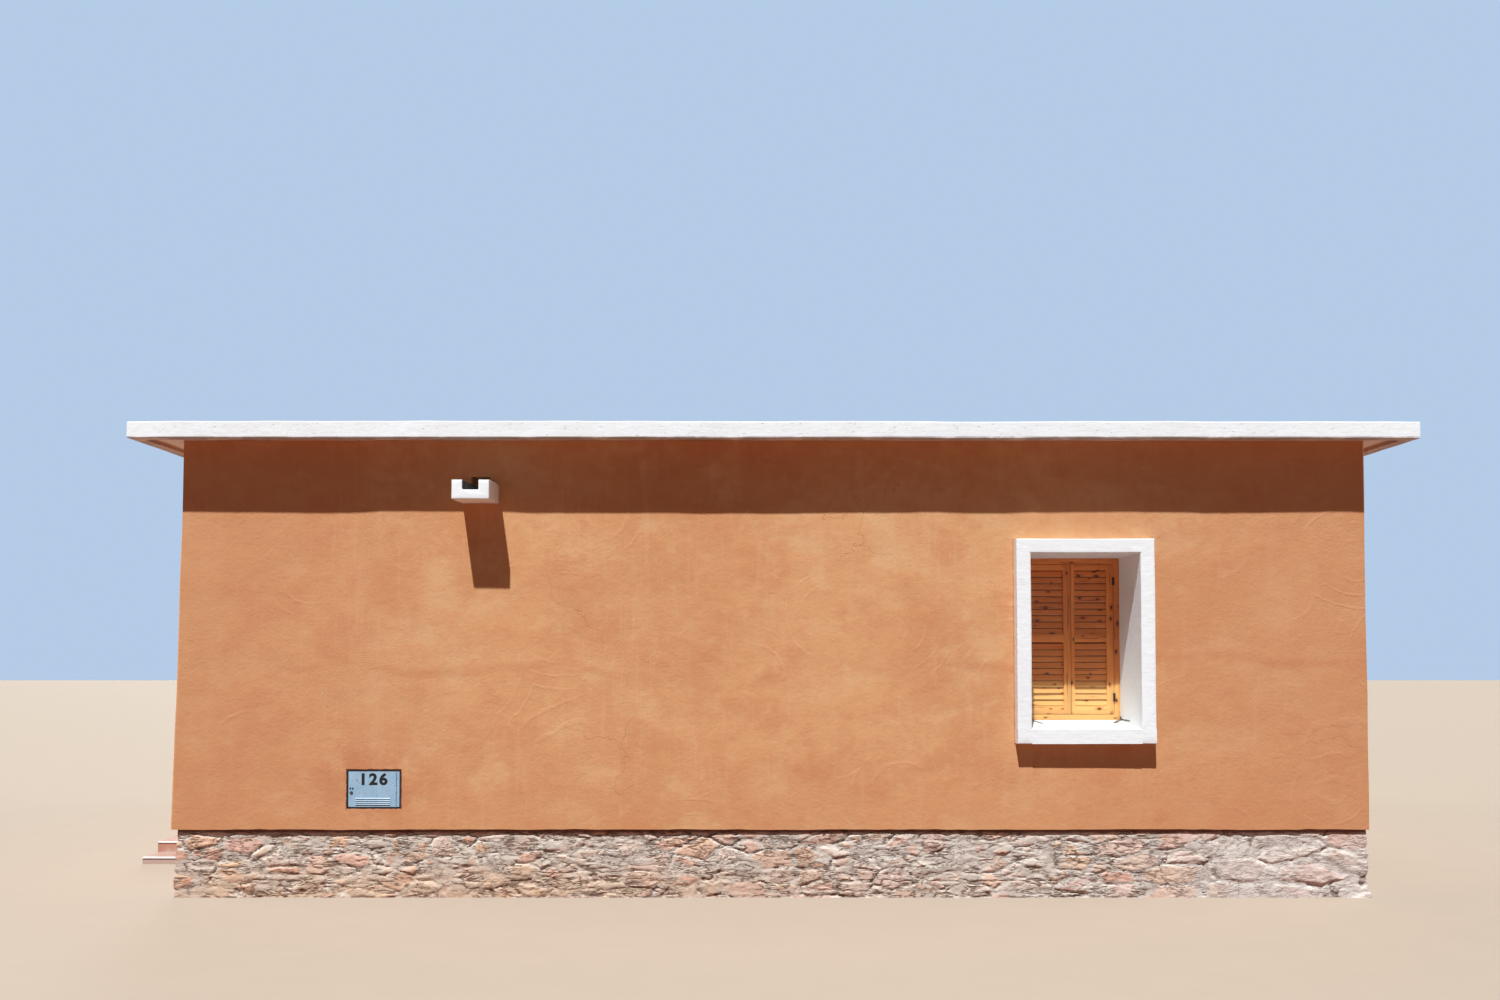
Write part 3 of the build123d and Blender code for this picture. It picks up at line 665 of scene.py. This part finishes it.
earthRender = makeEarthRender()
whitePaint = makeWhitePaint()
rubbleStone = makeRubble()
# each wood: its pale colour, its painted sunlit colour, its dark colour, knot size, roughness
pine = makeWood("pineVarnish", (0.94, 0.345, 0.08), (0.833, 0.561, 0.193),
                (0.526, 0.114, 0.019), 0.095, 0.42)
doorWood = makeWood("doorWood", (0.404, 0.215, 0.092), (0.439, 0.272, 0.14),
                    (0.219, 0.101, 0.039), 0.055, 0.46)
blueSteel = makeBlueSteel()
blackIron = makeMetal("blackIron", (0.014, 0.013, 0.013), 0.0, 0.6)
# the meter box is nearly black: dark steel, with painted shade of the gap round the door
boxSteel = makeMetal("boxSteel", (0.008, 0.009, 0.011), 0.0, 0.75, 0.3)
blackPaint = makeMetal("blackPaint", (0.004, 0.004, 0.0045), 0.0, 0.85, 0.05)
lockSteel = makeMetal("lockSteel", (0.11, 0.11, 0.11), 1.0, 0.5)
terracotta = makeTerracotta()
concrete = makeConcrete("concrete", (0.439, 0.417, 0.386), (0.368, 0.346, 0.316),
                        (0.491, 0.456, 0.404))
screed = makeConcrete("roofScreed", (0.439, 0.382, 0.325), (0.351, 0.298, 0.246),
                      (0.491, 0.43, 0.368))
earthFill = makeConcrete("earthFill", (0.368, 0.246, 0.149), (0.281, 0.175, 0.105),
                         (0.404, 0.289, 0.193))
print("materials ready")


# Mesh helpers

def opened(*meshes):
    bm = bmesh.new()
    for mesh in meshes:
        bm.from_mesh(mesh)
    return bm


def sharpen(mesh, limit):
    # Smooth shading, but for edges whose faces turn by more than the limit in degrees
    mesh.shade_smooth()
    bm = opened(mesh)
    for edge in bm.edges:
        edge.smooth = edge.calc_face_angle(0) < math.radians(limit)
    bm.to_mesh(mesh)
    bm.free()


def addPiece(name, mesh, finish, body="house", replaced=(), smoothBelow=38):
    mesh.materials.clear()
    mesh.materials.append(finish.material)
    sharpen(mesh, smoothBelow)
    piece = placed(name, mesh)
    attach(piece, body)
    if replaced:
        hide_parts(*replaced)


def meshOf(bm, name):
    bmesh.ops.triangulate(bm, faces=[f for f in bm.faces if len(f.verts) > 4])
    mesh = bpy.data.meshes.new(name)
    bm.to_mesh(mesh)
    bm.free()
    return mesh


def closedMesh(bm, name):
    # A closed shell's mesh, with its faces turned outwards
    bmesh.ops.recalc_face_normals(bm, faces=bm.faces)
    return meshOf(bm, name)


def skin(bm, rings):
    # Faces between each ring of points and the next
    for ring, following in zip(rings, rings[1:]):
        for k in range(len(ring)):
            n = (k + 1) % len(ring)
            bm.faces.new((ring[k], following[k], following[n], ring[n]))


def mergedFaces(mesh):
    # A mesh of loose triangles as one closed shell of flat faces
    bm = opened(mesh)
    bmesh.ops.remove_doubles(bm, verts=bm.verts, dist=1e-5)
    bmesh.ops.dissolve_limit(bm, angle_limit=math.radians(1), verts=bm.verts, edges=bm.edges)
    return bm


def shellOf(nodeNames):
    # A copy of one node, or of nodes that touch each other, as one closed shell
    shells = [mergedFaces(nodes[name].data) for name in nodeNames]
    if len(shells) == 1:
        return shells[0]
    others = bpy.data.collections.new("others")
    scene.collection.children.link(others)
    first = placed("part", meshOf(shells[0], "part"))
    parts = [bpy.data.objects.new("part", meshOf(shell, "part")) for shell in shells[1:]]
    for part in parts:
        others.objects.link(part)
    fuse = first.modifiers.new("fuse", "BOOLEAN")
    fuse.operation, fuse.solver = "UNION", "EXACT"
    fuse.operand_type, fuse.collection = "COLLECTION", others
    fused = plainMesh(first, "fused")
    for part in parts:
        bpy.data.objects.remove(part)
    bpy.data.collections.remove(others)
    return mergedFaces(fused)


def easeEdges(bm, width, segments=2, over=25):
    edges = [e for e in bm.edges
             if len(e.link_faces) == 2 and e.calc_face_angle(0) > math.radians(over)]
    bmesh.ops.bevel(bm, geom=edges, offset=width, segments=segments, profile=0.5,
                    affect="EDGES", clamp_overlap=True)


def cutAt(bm, axis, level):
    direction = Vector([float(i == axis) for i in range(3)])
    bmesh.ops.bisect_plane(bm, geom=bm.verts[:] + bm.edges[:] + bm.faces[:], dist=1e-5,
                           plane_co=direction * level, plane_no=direction)


def cutGrid(bm, steps):
    # Cuts all faces along planes that stand on round numbers, so that neighbours are cut alike
    for axis, step in enumerate(steps):
        low = min(v.co[axis] for v in bm.verts)
        high = max(v.co[axis] for v in bm.verts)
        for k in range(math.floor(low / step) + 1, math.ceil(high / step)):
            cutAt(bm, axis, k * step)


mathutils.noise.seed_set(7)  # without a seed, noise_vector gives other waves in each run


def sway(point, waves):
    # A small shift that depends on the place alone; waves are (turns per metre, metres) pairs
    shift = Vector()
    for scale, height in waves:
        shift += mathutils.noise.noise_vector(point * scale) * height
    return shift


def mark(mesh, name, valueAt):
    # A number for each face, from the face's centre
    values = [float(valueAt(face.center)) for face in mesh.polygons]
    mesh.attributes.new(name, "FLOAT", "FACE").data.foreach_set("value", values)


# Render: one coat over walls and parapets, a little uneven, with a ragged lower edge

coatLook = {
    "face": (4.1, 2.8), "corner": 0.0185, "grid": (0.08, 0.08, 0.1),
    "waves": [(0.9, 0.006), (3.1, 0.0022)],
    # the lower edge: its level, how it is eased, its waves, and the least and most it hangs down
    "edgeLevel": 0.47, "edgeEase": 0.0032, "edgeWaves": [(2.3, 0.004), (11, 0.004), (31, 0.002)],
    "edgeDrop": (0.004, 0.012),
    # the left end leans in towards its top: its shift at the foot, and the gain in a metre
    "lean": (-0.033, 0.022),
    # places in the front where it is true: left, right, bottom and top of each
    "calm": [(-2.922, -2.554, 0.611, 0.871), (-2.145, -1.895, 2.7, 2.9)], "calmReach": 0.22,
}


def coatRelief(point):
    onX, onY = (abs(point[i]) > coatLook["face"][i] - coatLook["corner"] for i in (0, 1))
    if not (onX or onY):
        return Vector()
    calm = 1.0
    if point.y < 0 and onY:
        for left, right, bottom, top in coatLook["calm"]:
            away = math.hypot(max(left - point.x, 0, point.x - right),
                              max(bottom - point.z, 0, point.z - top))
            calm = min(calm, away / coatLook["calmReach"])
    shift = sway(point, coatLook["waves"]) * calm
    shift.x *= onX
    shift.y *= onY
    shift.z = 0
    if onX and point.x < 0:
        start, gain = coatLook["lean"]
        shift.x += start + gain * (point.z - coatLook["edgeLevel"])
    if point.z < coatLook["edgeLevel"] + 0.001:
        least, most = coatLook["edgeDrop"]
        drop = sum(mathutils.noise.noise(point * scale) * height
                   for scale, height in coatLook["edgeWaves"])
        shift.z = -min(most, max(0.0, least + drop))
    return shift


coated = ["front_wall", "back_wall", "right_wall", "left_wall_front", "left_wall_back",
          "left_wall_over_door", "parapet_front", "parapet_back", "parapet_left", "parapet_right"]
bm = shellOf(coated)
lowerEdge = [v for v in bm.verts if v.co.z < coatLook["edgeLevel"] + coatLook["edgeEase"]]
bmesh.ops.remove_doubles(bm, verts=lowerEdge, dist=coatLook["edgeEase"])
cutGrid(bm, coatLook["grid"])
for vert in bm.verts:
    vert.co += coatRelief(vert.co)
addPiece("earthCoat", meshOf(bm, "earthCoat"), earthRender, replaced=coated)
print("walls done")


# Coping: a white cast rim round the house, wavy as one that was floated by hand

copingLook = {
    "face": (4.1, 2.8), "stations": 0.055,
    # offset out from the wall's face and level of each point of the section, in metres
    "section": [
        (0.247, 3.1255), (0.247, 3.16), (0.247, 3.195), (0.247, 3.228), (0.2445, 3.2325),
        (0.24, 3.2347), (0.12, 3.2316), (-0.06, 3.229), (-0.24, 3.2262), (-0.354, 3.2235),
        (-0.3585, 3.2215), (-0.36, 3.217), (-0.36, 3.154), (-0.357, 3.151), (-0.2, 3.15),
        (0.0, 3.15), (0.154, 3.15), (0.157, 3.147), (0.157, 3.125), (0.16, 3.1222),
        (0.2, 3.122), (0.2435, 3.1222),
    ],
    "waves": [(0.7, 0.006), (3.4, 0.0028), (12, 0.0012)],
}


def makeCoping():
    faceX, faceY = copingLook["face"]
    corners = [(-1, -1), (1, -1), (1, 1), (-1, 1)]
    bm = bmesh.new()
    rings = []
    for (ax, ay), (bx, by) in zip(corners, corners[1:] + corners[:1]):
        length = 2 * (faceX if ay == by else faceY)
        count = round(length / copingLook["stations"])
        for k in range(count):
            ring = []
            for out, level in copingLook["section"]:
                start = Vector((ax * (faceX + out), ay * (faceY + out), level))
                end = Vector((bx * (faceX + out), by * (faceY + out), level))
                point = start.lerp(end, k / count)
                ring.append(bm.verts.new(point + sway(point, copingLook["waves"])))
            rings.append(ring)
    skin(bm, rings + rings[:1])
    return closedMesh(bm, "copingRim")


addPiece("copingRim", makeCoping(), whitePaint,
         replaced=("coping_front", "coping_back", "coping_left", "coping_right"), smoothBelow=16)
print("coping done")


# Cast surrounds, sill, threshold and spout, with eased edges and faces that aren't quite flat

castLook = {"ease": 0.0028, "grid": (0.07, 0.07, 0.07), "waves": [(2.0, 0.0022), (8, 0.0009)]}
for name, nodeNames in {
    "windowSurround": ["window_surround", "window_sill"], "rainSpout": ["rain_spout"],
    "doorSurround": ["door_surround"], "doorThreshold": ["door_threshold"],
}.items():
    bm = shellOf(nodeNames)
    easeEdges(bm, castLook["ease"])
    cutGrid(bm, castLook["grid"])
    for vert in bm.verts:
        vert.co += sway(vert.co, castLook["waves"])
    addPiece(name, meshOf(bm, name), whitePaint,
             replaced=nodeNames, smoothBelow=16)
print("casts done")


# Plinth: rubble in a thick mortar, shaped by Geometry Nodes on plain blocks

plinthLook = {
    "faces": (-4.09, 4.08, -2.776, 2.776), "inner": (3.6, 2.3), "height": 0.47, "step": 0.008,
    "cornerReach": 0.02, "doorHalf": 0.547, "underDoor": 0.24,
}
# sizes in metres, as the tree's inputs
rubbleSizes = {"stoneWidth": 0.25, "stoneHeight": 0.112, "joint": 0.004, "proud": 0.0075,
               "ledge": 0.0042, "smear": 0.48, "batter": 0.014, "top": 0.47, "topProud": 0.001}
# the steps of the ledges, how loose the cells are, and the limits of the whole relief in metres
rubbleLook = {"ledges": 7, "loose": 0.8, "deepest": -0.016, "proudest": 0.018}


def makeRubbleTree():
    grow = Grower("rubbleFace", **rubbleSizes)
    size = grow.given
    x, level = grow.place.x, grow.place.z
    cellSize = grow.point(x=size["stoneWidth"], y=size["stoneWidth"], z=size["stoneHeight"])
    # stones grow longer and flatter towards the right end
    rightEnd = x.band(2.2, 3.2)
    longer = grow.point(x=(x - 2.4).atLeast(0.0) * -0.42, z=level * rightEnd * -0.3)
    bent = grow.vector("ADD", grow.bent(5.0, (0.065, 0.065, 0.03)), longer)
    inCells = grow.vector("DIVIDE", bent, cellSize)

    def cell(output, feature="F1"):
        return grow.cells(1.0, feature, inCells, output, rubbleLook["loose"])

    edge = cell("Distance", "DISTANCE_TO_EDGE") * size["stoneHeight"]
    perStone = cell("Color")
    tone, lift, lean = perStone.x, perStone.y, perStone.z
    slope = grow.vector("SUBTRACT", inCells, cell("Position")).z * (lean - 0.5) * 0.014
    chips = grow.cells(1.0, place=grow.stretched((13, 13, 26))) * -0.004
    layers = stoneLayers(grow)
    ledge = size["ledge"] * (1 - rightEnd * 0.6)
    steps = rubbleLook["ledges"]
    ledges = ((layers * steps).floor() / steps + layers) * ledge * 2.6 - ledge * 2.4
    stone = lift * size["proud"] + slope + chips + ledges * (lean * 0.6 + 0.15) + 0.003
    bed = grow.noise(9, 3, 0.55) * 0.008 - 0.006 + ledges
    inside = edge.band(size["joint"], size["joint"] + 0.01)
    # mortar smeared over the stones in places
    smearStart = size["smear"] + rightEnd * 0.06
    smear = grow.noise(1.0, 5, 0.68, grow.stretched((4.2, 4.2, 6.5), (3, 1, 2)))
    smear = smear.band(smearStart, smearStart + 0.07)
    smearRise = grow.noise(14, 3, 0.55) * 0.006 - 0.001 + ledges * 0.9
    share = inside * (1 - smear)
    rise = bed + inside * (stone - bed)
    rise = rise + smear * (smearRise - rise) * 0.85
    cuts = (layers - 0.5).size().band(0.04, 0.015) * grow.noise(4.5, 2).band(0.46, 0.53)
    gap = edge.band(0.0045, 0.0015) * (1 - smear) * grow.noise(8).band(0.5, 0.58)
    rise = rise - cuts * (1 - rightEnd * 0.5) * 0.005 - gap * 0.009
    rise = rise.atLeast(rubbleLook["deepest"]).atMost(rubbleLook["proudest"])
    # calm under the render's edge, and thicker towards the foot
    nearTop = level.band(size["top"] - 0.06, size["top"] - 0.02)
    rise = rise + nearTop * (rise.atMost(size["topProud"]) - rise)
    rise = rise + (1 - level / size["top"]) * size["batter"]
    outward = grow.add("GeometryNodeInputNamedAttribute", {"Name": "outward"}, "Attribute",
                       data_type="FLOAT_VECTOR")
    shaped = grow.moved(size["base"], grow.scaled(outward, rise))
    for name, value in (("stoneTone", tone), ("stoneShare", share), ("gapShare", gap)):
        shaped = grow.store(shaped, name, value)
    return grow.end(shaped, rubbleStone)


def plinthBase(name, axis, face, start, end, top, mitred):
    # A closed block with a fine outer face at y or x = face; axis is the one it runs along
    inner, step = plinthLook["inner"], plinthLook["step"]
    columns, rows = round(abs(end - start) / step), round(top / step)
    across = 1 - axis
    side = math.copysign(1, face)
    # each end: where it is, the way out there, and whether it is a corner
    ends = [(limit, math.copysign(1, limit), cut) for limit, cut in zip((start, end), mitred)]
    innerStart, innerEnd = (inner[axis] * way if cut else limit for limit, way, cut in ends)
    bm = bmesh.new()
    outward = bm.verts.layers.float_vector.new("outward")

    def at(along, out, level):
        point = [0, 0, level]
        point[axis], point[across] = along, out
        return point

    rings = []
    for i in range(columns + 1):
        t = i / columns
        along = start + (end - start) * t
        push = at(0.0, side, 0.0)
        for limit, way, cut in ends:
            reach = 1 - abs(along - limit) / plinthLook["cornerReach"]
            if cut and reach > 0:
                push[axis] = reach * way
        ring = [bm.verts.new(at(along, face, top * j / rows)) for j in range(rows + 1)]
        for vert in ring:
            vert[outward] = push
        alongBack = innerStart + (innerEnd - innerStart) * t
        back = [bm.verts.new(at(alongBack, inner[across] * side, z)) for z in (top, 0.0)]
        rings.append(ring + back)
    skin(bm, rings)
    for ring in (rings[0], rings[-1]):
        bm.faces.new(ring)
    return closedMesh(bm, name)


rubbleTree = makeRubbleTree()
left, right, front, back = plinthLook["faces"]
tall, low, doorHalf = plinthLook["height"], plinthLook["underDoor"], plinthLook["doorHalf"]
# name: its node, the axis it runs along, its face, its ends, its height, which ends are corners
plinthSides = {
    "rubbleFront": ("plinth_front", 0, front, left, right, tall, (True, True)),
    "rubbleBack": ("plinth_back", 0, back, left, right, tall, (True, True)),
    "rubbleRight": ("plinth_right", 1, right, front, back, tall, (True, True)),
    "rubbleLeftFront": ("plinth_left_front", 1, left, front, -doorHalf, tall, (True, False)),
    "rubbleLeftBack": ("plinth_left_back", 1, left, doorHalf, back, tall, (False, True)),
    "rubbleUnderDoor": ("plinth_under_door", 1, left, -doorHalf, doorHalf, low, (False, False)),
}
for name, (nodeName, *block) in plinthSides.items():
    grown = rubbleTree.grow(name, plinthBase(name, *block), **rubbleSizes)
    addPiece(name, grown, rubbleStone, replaced=(nodeName,), smoothBelow=50)
print("plinth done")


# Shutters: leaves and case with eased edges, and slats set one over another

shutterLook = {"ease": 0.0012, "panels": {"left": (1.8575, 2.11), "right": (2.1915, 2.4225)},
               "caseFrame": 0.055, "middleRail": 1.7}
slatLook = {"width": 0.053, "thickness": 0.007, "seam": 0.009, "middle": -2.4025,
            "ranges": ((1.292, 1.7475), (1.8055, 2.273))}
slatSizes = {"count": 10, "pitch": 0.0455, "first": (1.86, -2.4025, 1.32), "tilt": 79.0,
             "wobble": 1.3, "slide": 0.0012, "seed": 5}


def makeSlatTree():
    # Instances of the base along an upright line, each tilted, and a little out of true
    grow = Grower("louvreSlats", **slatSizes)
    size, seed = grow.given, grow.given["seed"]
    line = grow.add("GeometryNodeMeshLine", {
        "Count": size["count"], "Start Location": size["first"],
        "Offset": grow.point(z=size["pitch"])}, mode="OFFSET")
    tilt = (size["tilt"] + grow.random(-1.0, 1.0, seed) * size["wobble"]).radians()
    roll = (grow.random(-0.25, 0.25, seed + 1) * size["wobble"]).radians()
    line = grow.moved(line, grow.point(y=grow.random(-1.0, 1.0, seed + 2) * size["slide"]))
    slats = grow.scattered(line, size["base"], grow.point(x=tilt, y=roll))
    slats = grow.store(slats, "grainShift", grow.random(0.0, 9.0, seed + 3), "INSTANCE")
    return grow.end(slats, pine)


def slatBoard(length):
    # A board with round long edges, from X 0 to its length, flat in X and Y
    half, radius = slatLook["width"] / 2, slatLook["thickness"] / 2
    section = []  # Y and Z of each point, and 1 at the edges for the painted shade and dirt in the seams
    for side in (1, -1):
        flat = side * (half - slatLook["seam"])
        turns = [math.radians(angle) for angle in (-90, -45, 0, 45, 90)]
        section += [(flat, -side * radius, 0.0)]
        section += [(side * (half - radius + radius * math.cos(turn)),
                     side * radius * math.sin(turn), 1.0) for turn in turns]
        section += [(flat, side * radius, 0.0)]
    bm = bmesh.new()
    seam = bm.verts.layers.float.new("seam")
    rings = []
    for x in (0, length):
        rings.append([bm.verts.new((x, y, z)) for y, z, value in section])
        for vert, (y, z, value) in zip(rings[-1], section):
            vert[seam] = value
    skin(bm, rings)
    for ring in rings:
        bm.faces.new(ring)
    return closedMesh(bm, "slatBoard")


def addBoards(name, nodeName, finish, ease, upright, shift, segments=2, cuts=()):
    # A node's copy with eased edges, cut at some X, whose faces say how their grain runs
    bm = shellOf([nodeName])
    easeEdges(bm, ease, segments)
    for x in cuts:
        cutAt(bm, 0, x)
    mesh = meshOf(bm, name)
    mark(mesh, "upright", upright)
    mark(mesh, "grainShift", shift)
    addPiece(name, mesh, finish, replaced=(nodeName,))


slatTree = makeSlatTree()
rise = ((slatLook["width"] - slatLook["thickness"]) * math.sin(math.radians(slatSizes["tilt"]))
        + slatLook["thickness"])
for number, (side, (start, end)) in enumerate(shutterLook["panels"].items()):
    addBoards(f"{side}Leaf", f"shutter_{side}_leaf", pine, shutterLook["ease"],
              lambda c: not start < c.x < end,
              lambda c: (0.4 + 0.3 * number
                         + 0.2 * (c.z > shutterLook["middleRail"]) * (start < c.x < end)),
              cuts=(start, end))
    panels = []
    for k, (low, high) in enumerate(slatLook["ranges"]):
        sizes = dict(slatSizes, pitch=(high - low - rise) / (slatSizes["count"] - 1),
                     first=(start, slatLook["middle"], low + rise / 2),
                     seed=slatSizes["seed"] + 20 * number + 10 * k)
        panels.append(slatTree.grow("panel", slatBoard(end - start), **sizes))
    addPiece(f"{side}Slats", meshOf(opened(*panels), f"{side}Slats"), pine,
             replaced=(f"shutter_{side}_slats",))

caseLow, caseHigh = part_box("shutter_frame")
addBoards("shutterCase", "shutter_frame", pine, shutterLook["ease"],
          lambda c: min(c.x - caseLow.x, caseHigh.x - c.x) < shutterLook["caseFrame"],
          lambda c: 0.2 if c.x < 2.1 else 1.3)
print("shutters done")


# Entrance door and its frame, with upright grain

doorLook = {"ease": 0.001, "boards": 6}
doorLow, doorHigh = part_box("entrance_door")
board = (doorHigh.y - doorLow.y) / doorLook["boards"]
for name, nodeName in {"entranceLeaf": "entrance_door", "entranceFrame": "door_frame"}.items():
    addBoards(name, nodeName, doorWood, doorLook["ease"],
              lambda c: c.z < doorHigh.z,
              lambda c: 0.37 * math.floor((c.y - doorLow.y) / board), segments=1)


# Terracotta tiles on the two treads

tileLook = {"thickness": 0.012, "ease": 0.0015, "joint": 0.004, "proud": 0.0008}
tileSizes = {"across": 4, "along": 9, "pitchX": 0.226, "pitchY": 0.209,
             "middle": (-4.528, -0.33, 0.1), "tilt": 0.25, "seed": 3}
# each tread: its ends along Y, its level, how many tiles along
treads = [(-1.523, -1.29, 0.055, 1), (-1.282, 0.6, 0.14, 9)]


def makeTileTree():
    grow = Grower("stepTiles", **tileSizes)
    size = grow.given
    rows = grow.add("GeometryNodeMeshGrid", {
        "Size X": size["pitchX"] * (size["across"] - 1), "Vertices X": size["across"],
        "Size Y": size["pitchY"] * (size["along"] - 1), "Vertices Y": size["along"]})
    rows = grow.add("GeometryNodeTransform", {"Geometry": rows, "Translation": size["middle"]})
    leans = [(grow.random(-1.0, 1.0, size["seed"] + k) * size["tilt"]).radians() for k in (0, 1)]
    tiles = grow.scattered(rows, size["base"], grow.point(x=leans[0], y=leans[1]))
    tiles = grow.store(tiles, "tileTone", grow.random(0.0, 1.0, size["seed"] + 5), "INSTANCE")
    return grow.end(tiles, terracotta)


def tileSlab(sizeX, sizeY):
    bm = bmesh.new()
    bmesh.ops.create_cube(bm, size=1)
    for vert in bm.verts:
        x, y, z = vert.co
        vert.co = (x * sizeX, y * sizeY, (z - 0.5) * tileLook["thickness"])
    easeEdges(bm, tileLook["ease"], 1)
    return meshOf(bm, "tileSlab")


stepsLow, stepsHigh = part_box("entrance_steps")
tileTree = makeTileTree()
tiled = []
for k, (start, end, level, along) in enumerate(treads):
    sizes = dict(
        tileSizes, along=along, seed=tileSizes["seed"] + 10 * k,
        pitchX=(stepsHigh.x - stepsLow.x) / tileSizes["across"], pitchY=(end - start) / along,
        middle=((stepsLow.x + stepsHigh.x) / 2, (start + end) / 2, level + tileLook["proud"]))
    slab = tileSlab(sizes["pitchX"] - tileLook["joint"], sizes["pitchY"] - tileLook["joint"])
    tiled.append(tileTree.grow("tread", slab, **sizes))
addPiece("stepTiles", meshOf(opened(*tiled), "stepTiles"), terracotta)
print("door and steps done")


# Small iron: screws in the plates, the lock's screws, a keyhole plate, and the meter's number

# the faces of the plates that the screws are in, and how far the screws are from an edge
screwLook = {"sides": 10, "rim": 0.0024, "top": 0.0012, "height": 0.0016,
             "handleFace": -3.9045, "handleAcross": 0.021, "handleEnd": 0.012,
             "hingeFace": -2.4231, "hingesX": (1.8015, 2.4785),
             "hingesZ": (1.345, 1.371, 2.182, 2.208),
             "lock": [(-2.9, -2.801, 0.748), (-2.883, -2.801, 0.7465)]}
screwSizes = {"turnX": 90.0, "turnZ": 0.0, "big": 1.0}


def makeScrewTree():
    grow = Grower("screwHeads", **screwSizes)
    head = grow.add("GeometryNodeMeshCone", {
        "Vertices": screwLook["sides"], "Radius Top": screwLook["top"],
        "Radius Bottom": screwLook["rim"], "Depth": screwLook["height"]}, fill_type="NGON")
    size, big = grow.given, grow.given["big"]
    angles = grow.point(x=size["turnX"].radians(), z=size["turnZ"].radians())
    heads = grow.scattered(size["base"], head, angles, Scale=grow.point(x=big, y=big, z=big))
    return grow.end(heads, blackIron)


screwTree = makeScrewTree()
handleLow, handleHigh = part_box("door_handle")
# name: where its screws are, how they are turned, how big they are, and their body
screws = {
    "handleScrews": ([(screwLook["handleFace"], handleLow.y + screwLook["handleAcross"], z)
                      for z in (handleLow.z + screwLook["handleEnd"],
                                handleHigh.z - screwLook["handleEnd"])], -90.0, 1.6, "house"),
    "hingeScrews": ([(x, screwLook["hingeFace"], z) for x in screwLook["hingesX"]
                     for z in screwLook["hingesZ"]], 0.0, 1.0, "house"),
    "lockScrews": (screwLook["lock"], 0.0, 2.6, "meter_door_leaf"),
}
for name, (points, turn, big, body) in screws.items():
    base = bpy.data.meshes.new("points")
    base.from_pydata(points, [], [])
    grown = screwTree.grow(name, base, **dict(screwSizes, turnZ=turn, big=big))
    addPiece(name, grown, blackIron, body=body)

keyLook = {"centre": (2.1835, -2.42, 1.775), "half": (0.0055, 0.0135), "depth": 0.0016,
           # how many points go round; and the share of the oval and of the depth at each ring
           "around": 20,
           "rings": ((1.0, -0.001), (1.0, 0.7), (0.88, 1.0), (0.45, 0.9), (0.36, -0.4))}


def makeKeyPlate():
    # An oval plate with a raised middle and an eased rim
    x, y, z = keyLook["centre"]
    wide, tall = keyLook["half"]
    turns = [2 * math.pi * k / keyLook["around"] for k in range(keyLook["around"])]
    bm = bmesh.new()
    rings = [[bm.verts.new((x + share * wide * math.cos(turn), y - depth * keyLook["depth"],
                            z + share * tall * math.sin(turn))) for turn in turns]
             for share, depth in keyLook["rings"]]
    skin(bm, rings)
    bm.faces.new(rings[0])
    bm.faces.new(rings[-1])
    return closedMesh(bm, "keyPlate")


addPiece("keyPlate", makeKeyPlate(), blackIron)

numberLook = {"text": "126", "left": -2.823, "right": -2.644, "bottom": 0.768, "top": 0.853,
              "face": -2.8, "depth": 0.0005, "weight": 0.042, "spacing": 1.22}


def makeNumber():
    curve = bpy.data.curves.new("meterNumber", "FONT")
    curve.body = numberLook["text"]
    curve.extrude, curve.offset = 0.1, numberLook["weight"]
    curve.space_character = numberLook["spacing"]
    curve.resolution_u = 6
    bm = opened(plainMesh(placed("meterNumber", curve), "meterNumber"))
    bmesh.ops.remove_doubles(bm, verts=bm.verts, dist=1e-5)
    low = Vector([min(v.co[i] for v in bm.verts) for i in range(3)])
    size = Vector([max(v.co[i] for v in bm.verts) for i in range(3)]) - low
    for vert in bm.verts:
        along, up, out = ((vert.co[i] - low[i]) / size[i] for i in range(3))
        vert.co = (numberLook["left"] + along * (numberLook["right"] - numberLook["left"]),
                   numberLook["face"] - (out - 0.4) * numberLook["depth"],
                   numberLook["bottom"] + up * (numberLook["top"] - numberLook["bottom"]))
    return closedMesh(bm, "meterNumber")


addPiece("meterNumber", makeNumber(), blackPaint, body="meter_door_leaf")
print("small iron done")


# Nodes that keep their own shape

for finish, nodeNames in (
    (blackIron, ["shutter_hinges", "door_handle"]), (blueSteel, ["meter_hinge", "meter_door"]),
    (boxSteel, ["meter_box"]), (lockSteel, ["meter_lock"]), (concrete, ["floor_slab", "roof_deck"]),
    (screed, ["roof_screed"]), (earthFill, ["floor_fill"]), (terracotta, ["entrance_steps"]),
    (whitePaint, ["step_nosings"]),
):
    for name in nodeNames:
        for materialSlot in nodes[name].material_slots:
            materialSlot.material = finish.material

sizes = {"cad": [list(corner) for corner in cadBox], "visual": [list(corner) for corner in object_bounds()]}
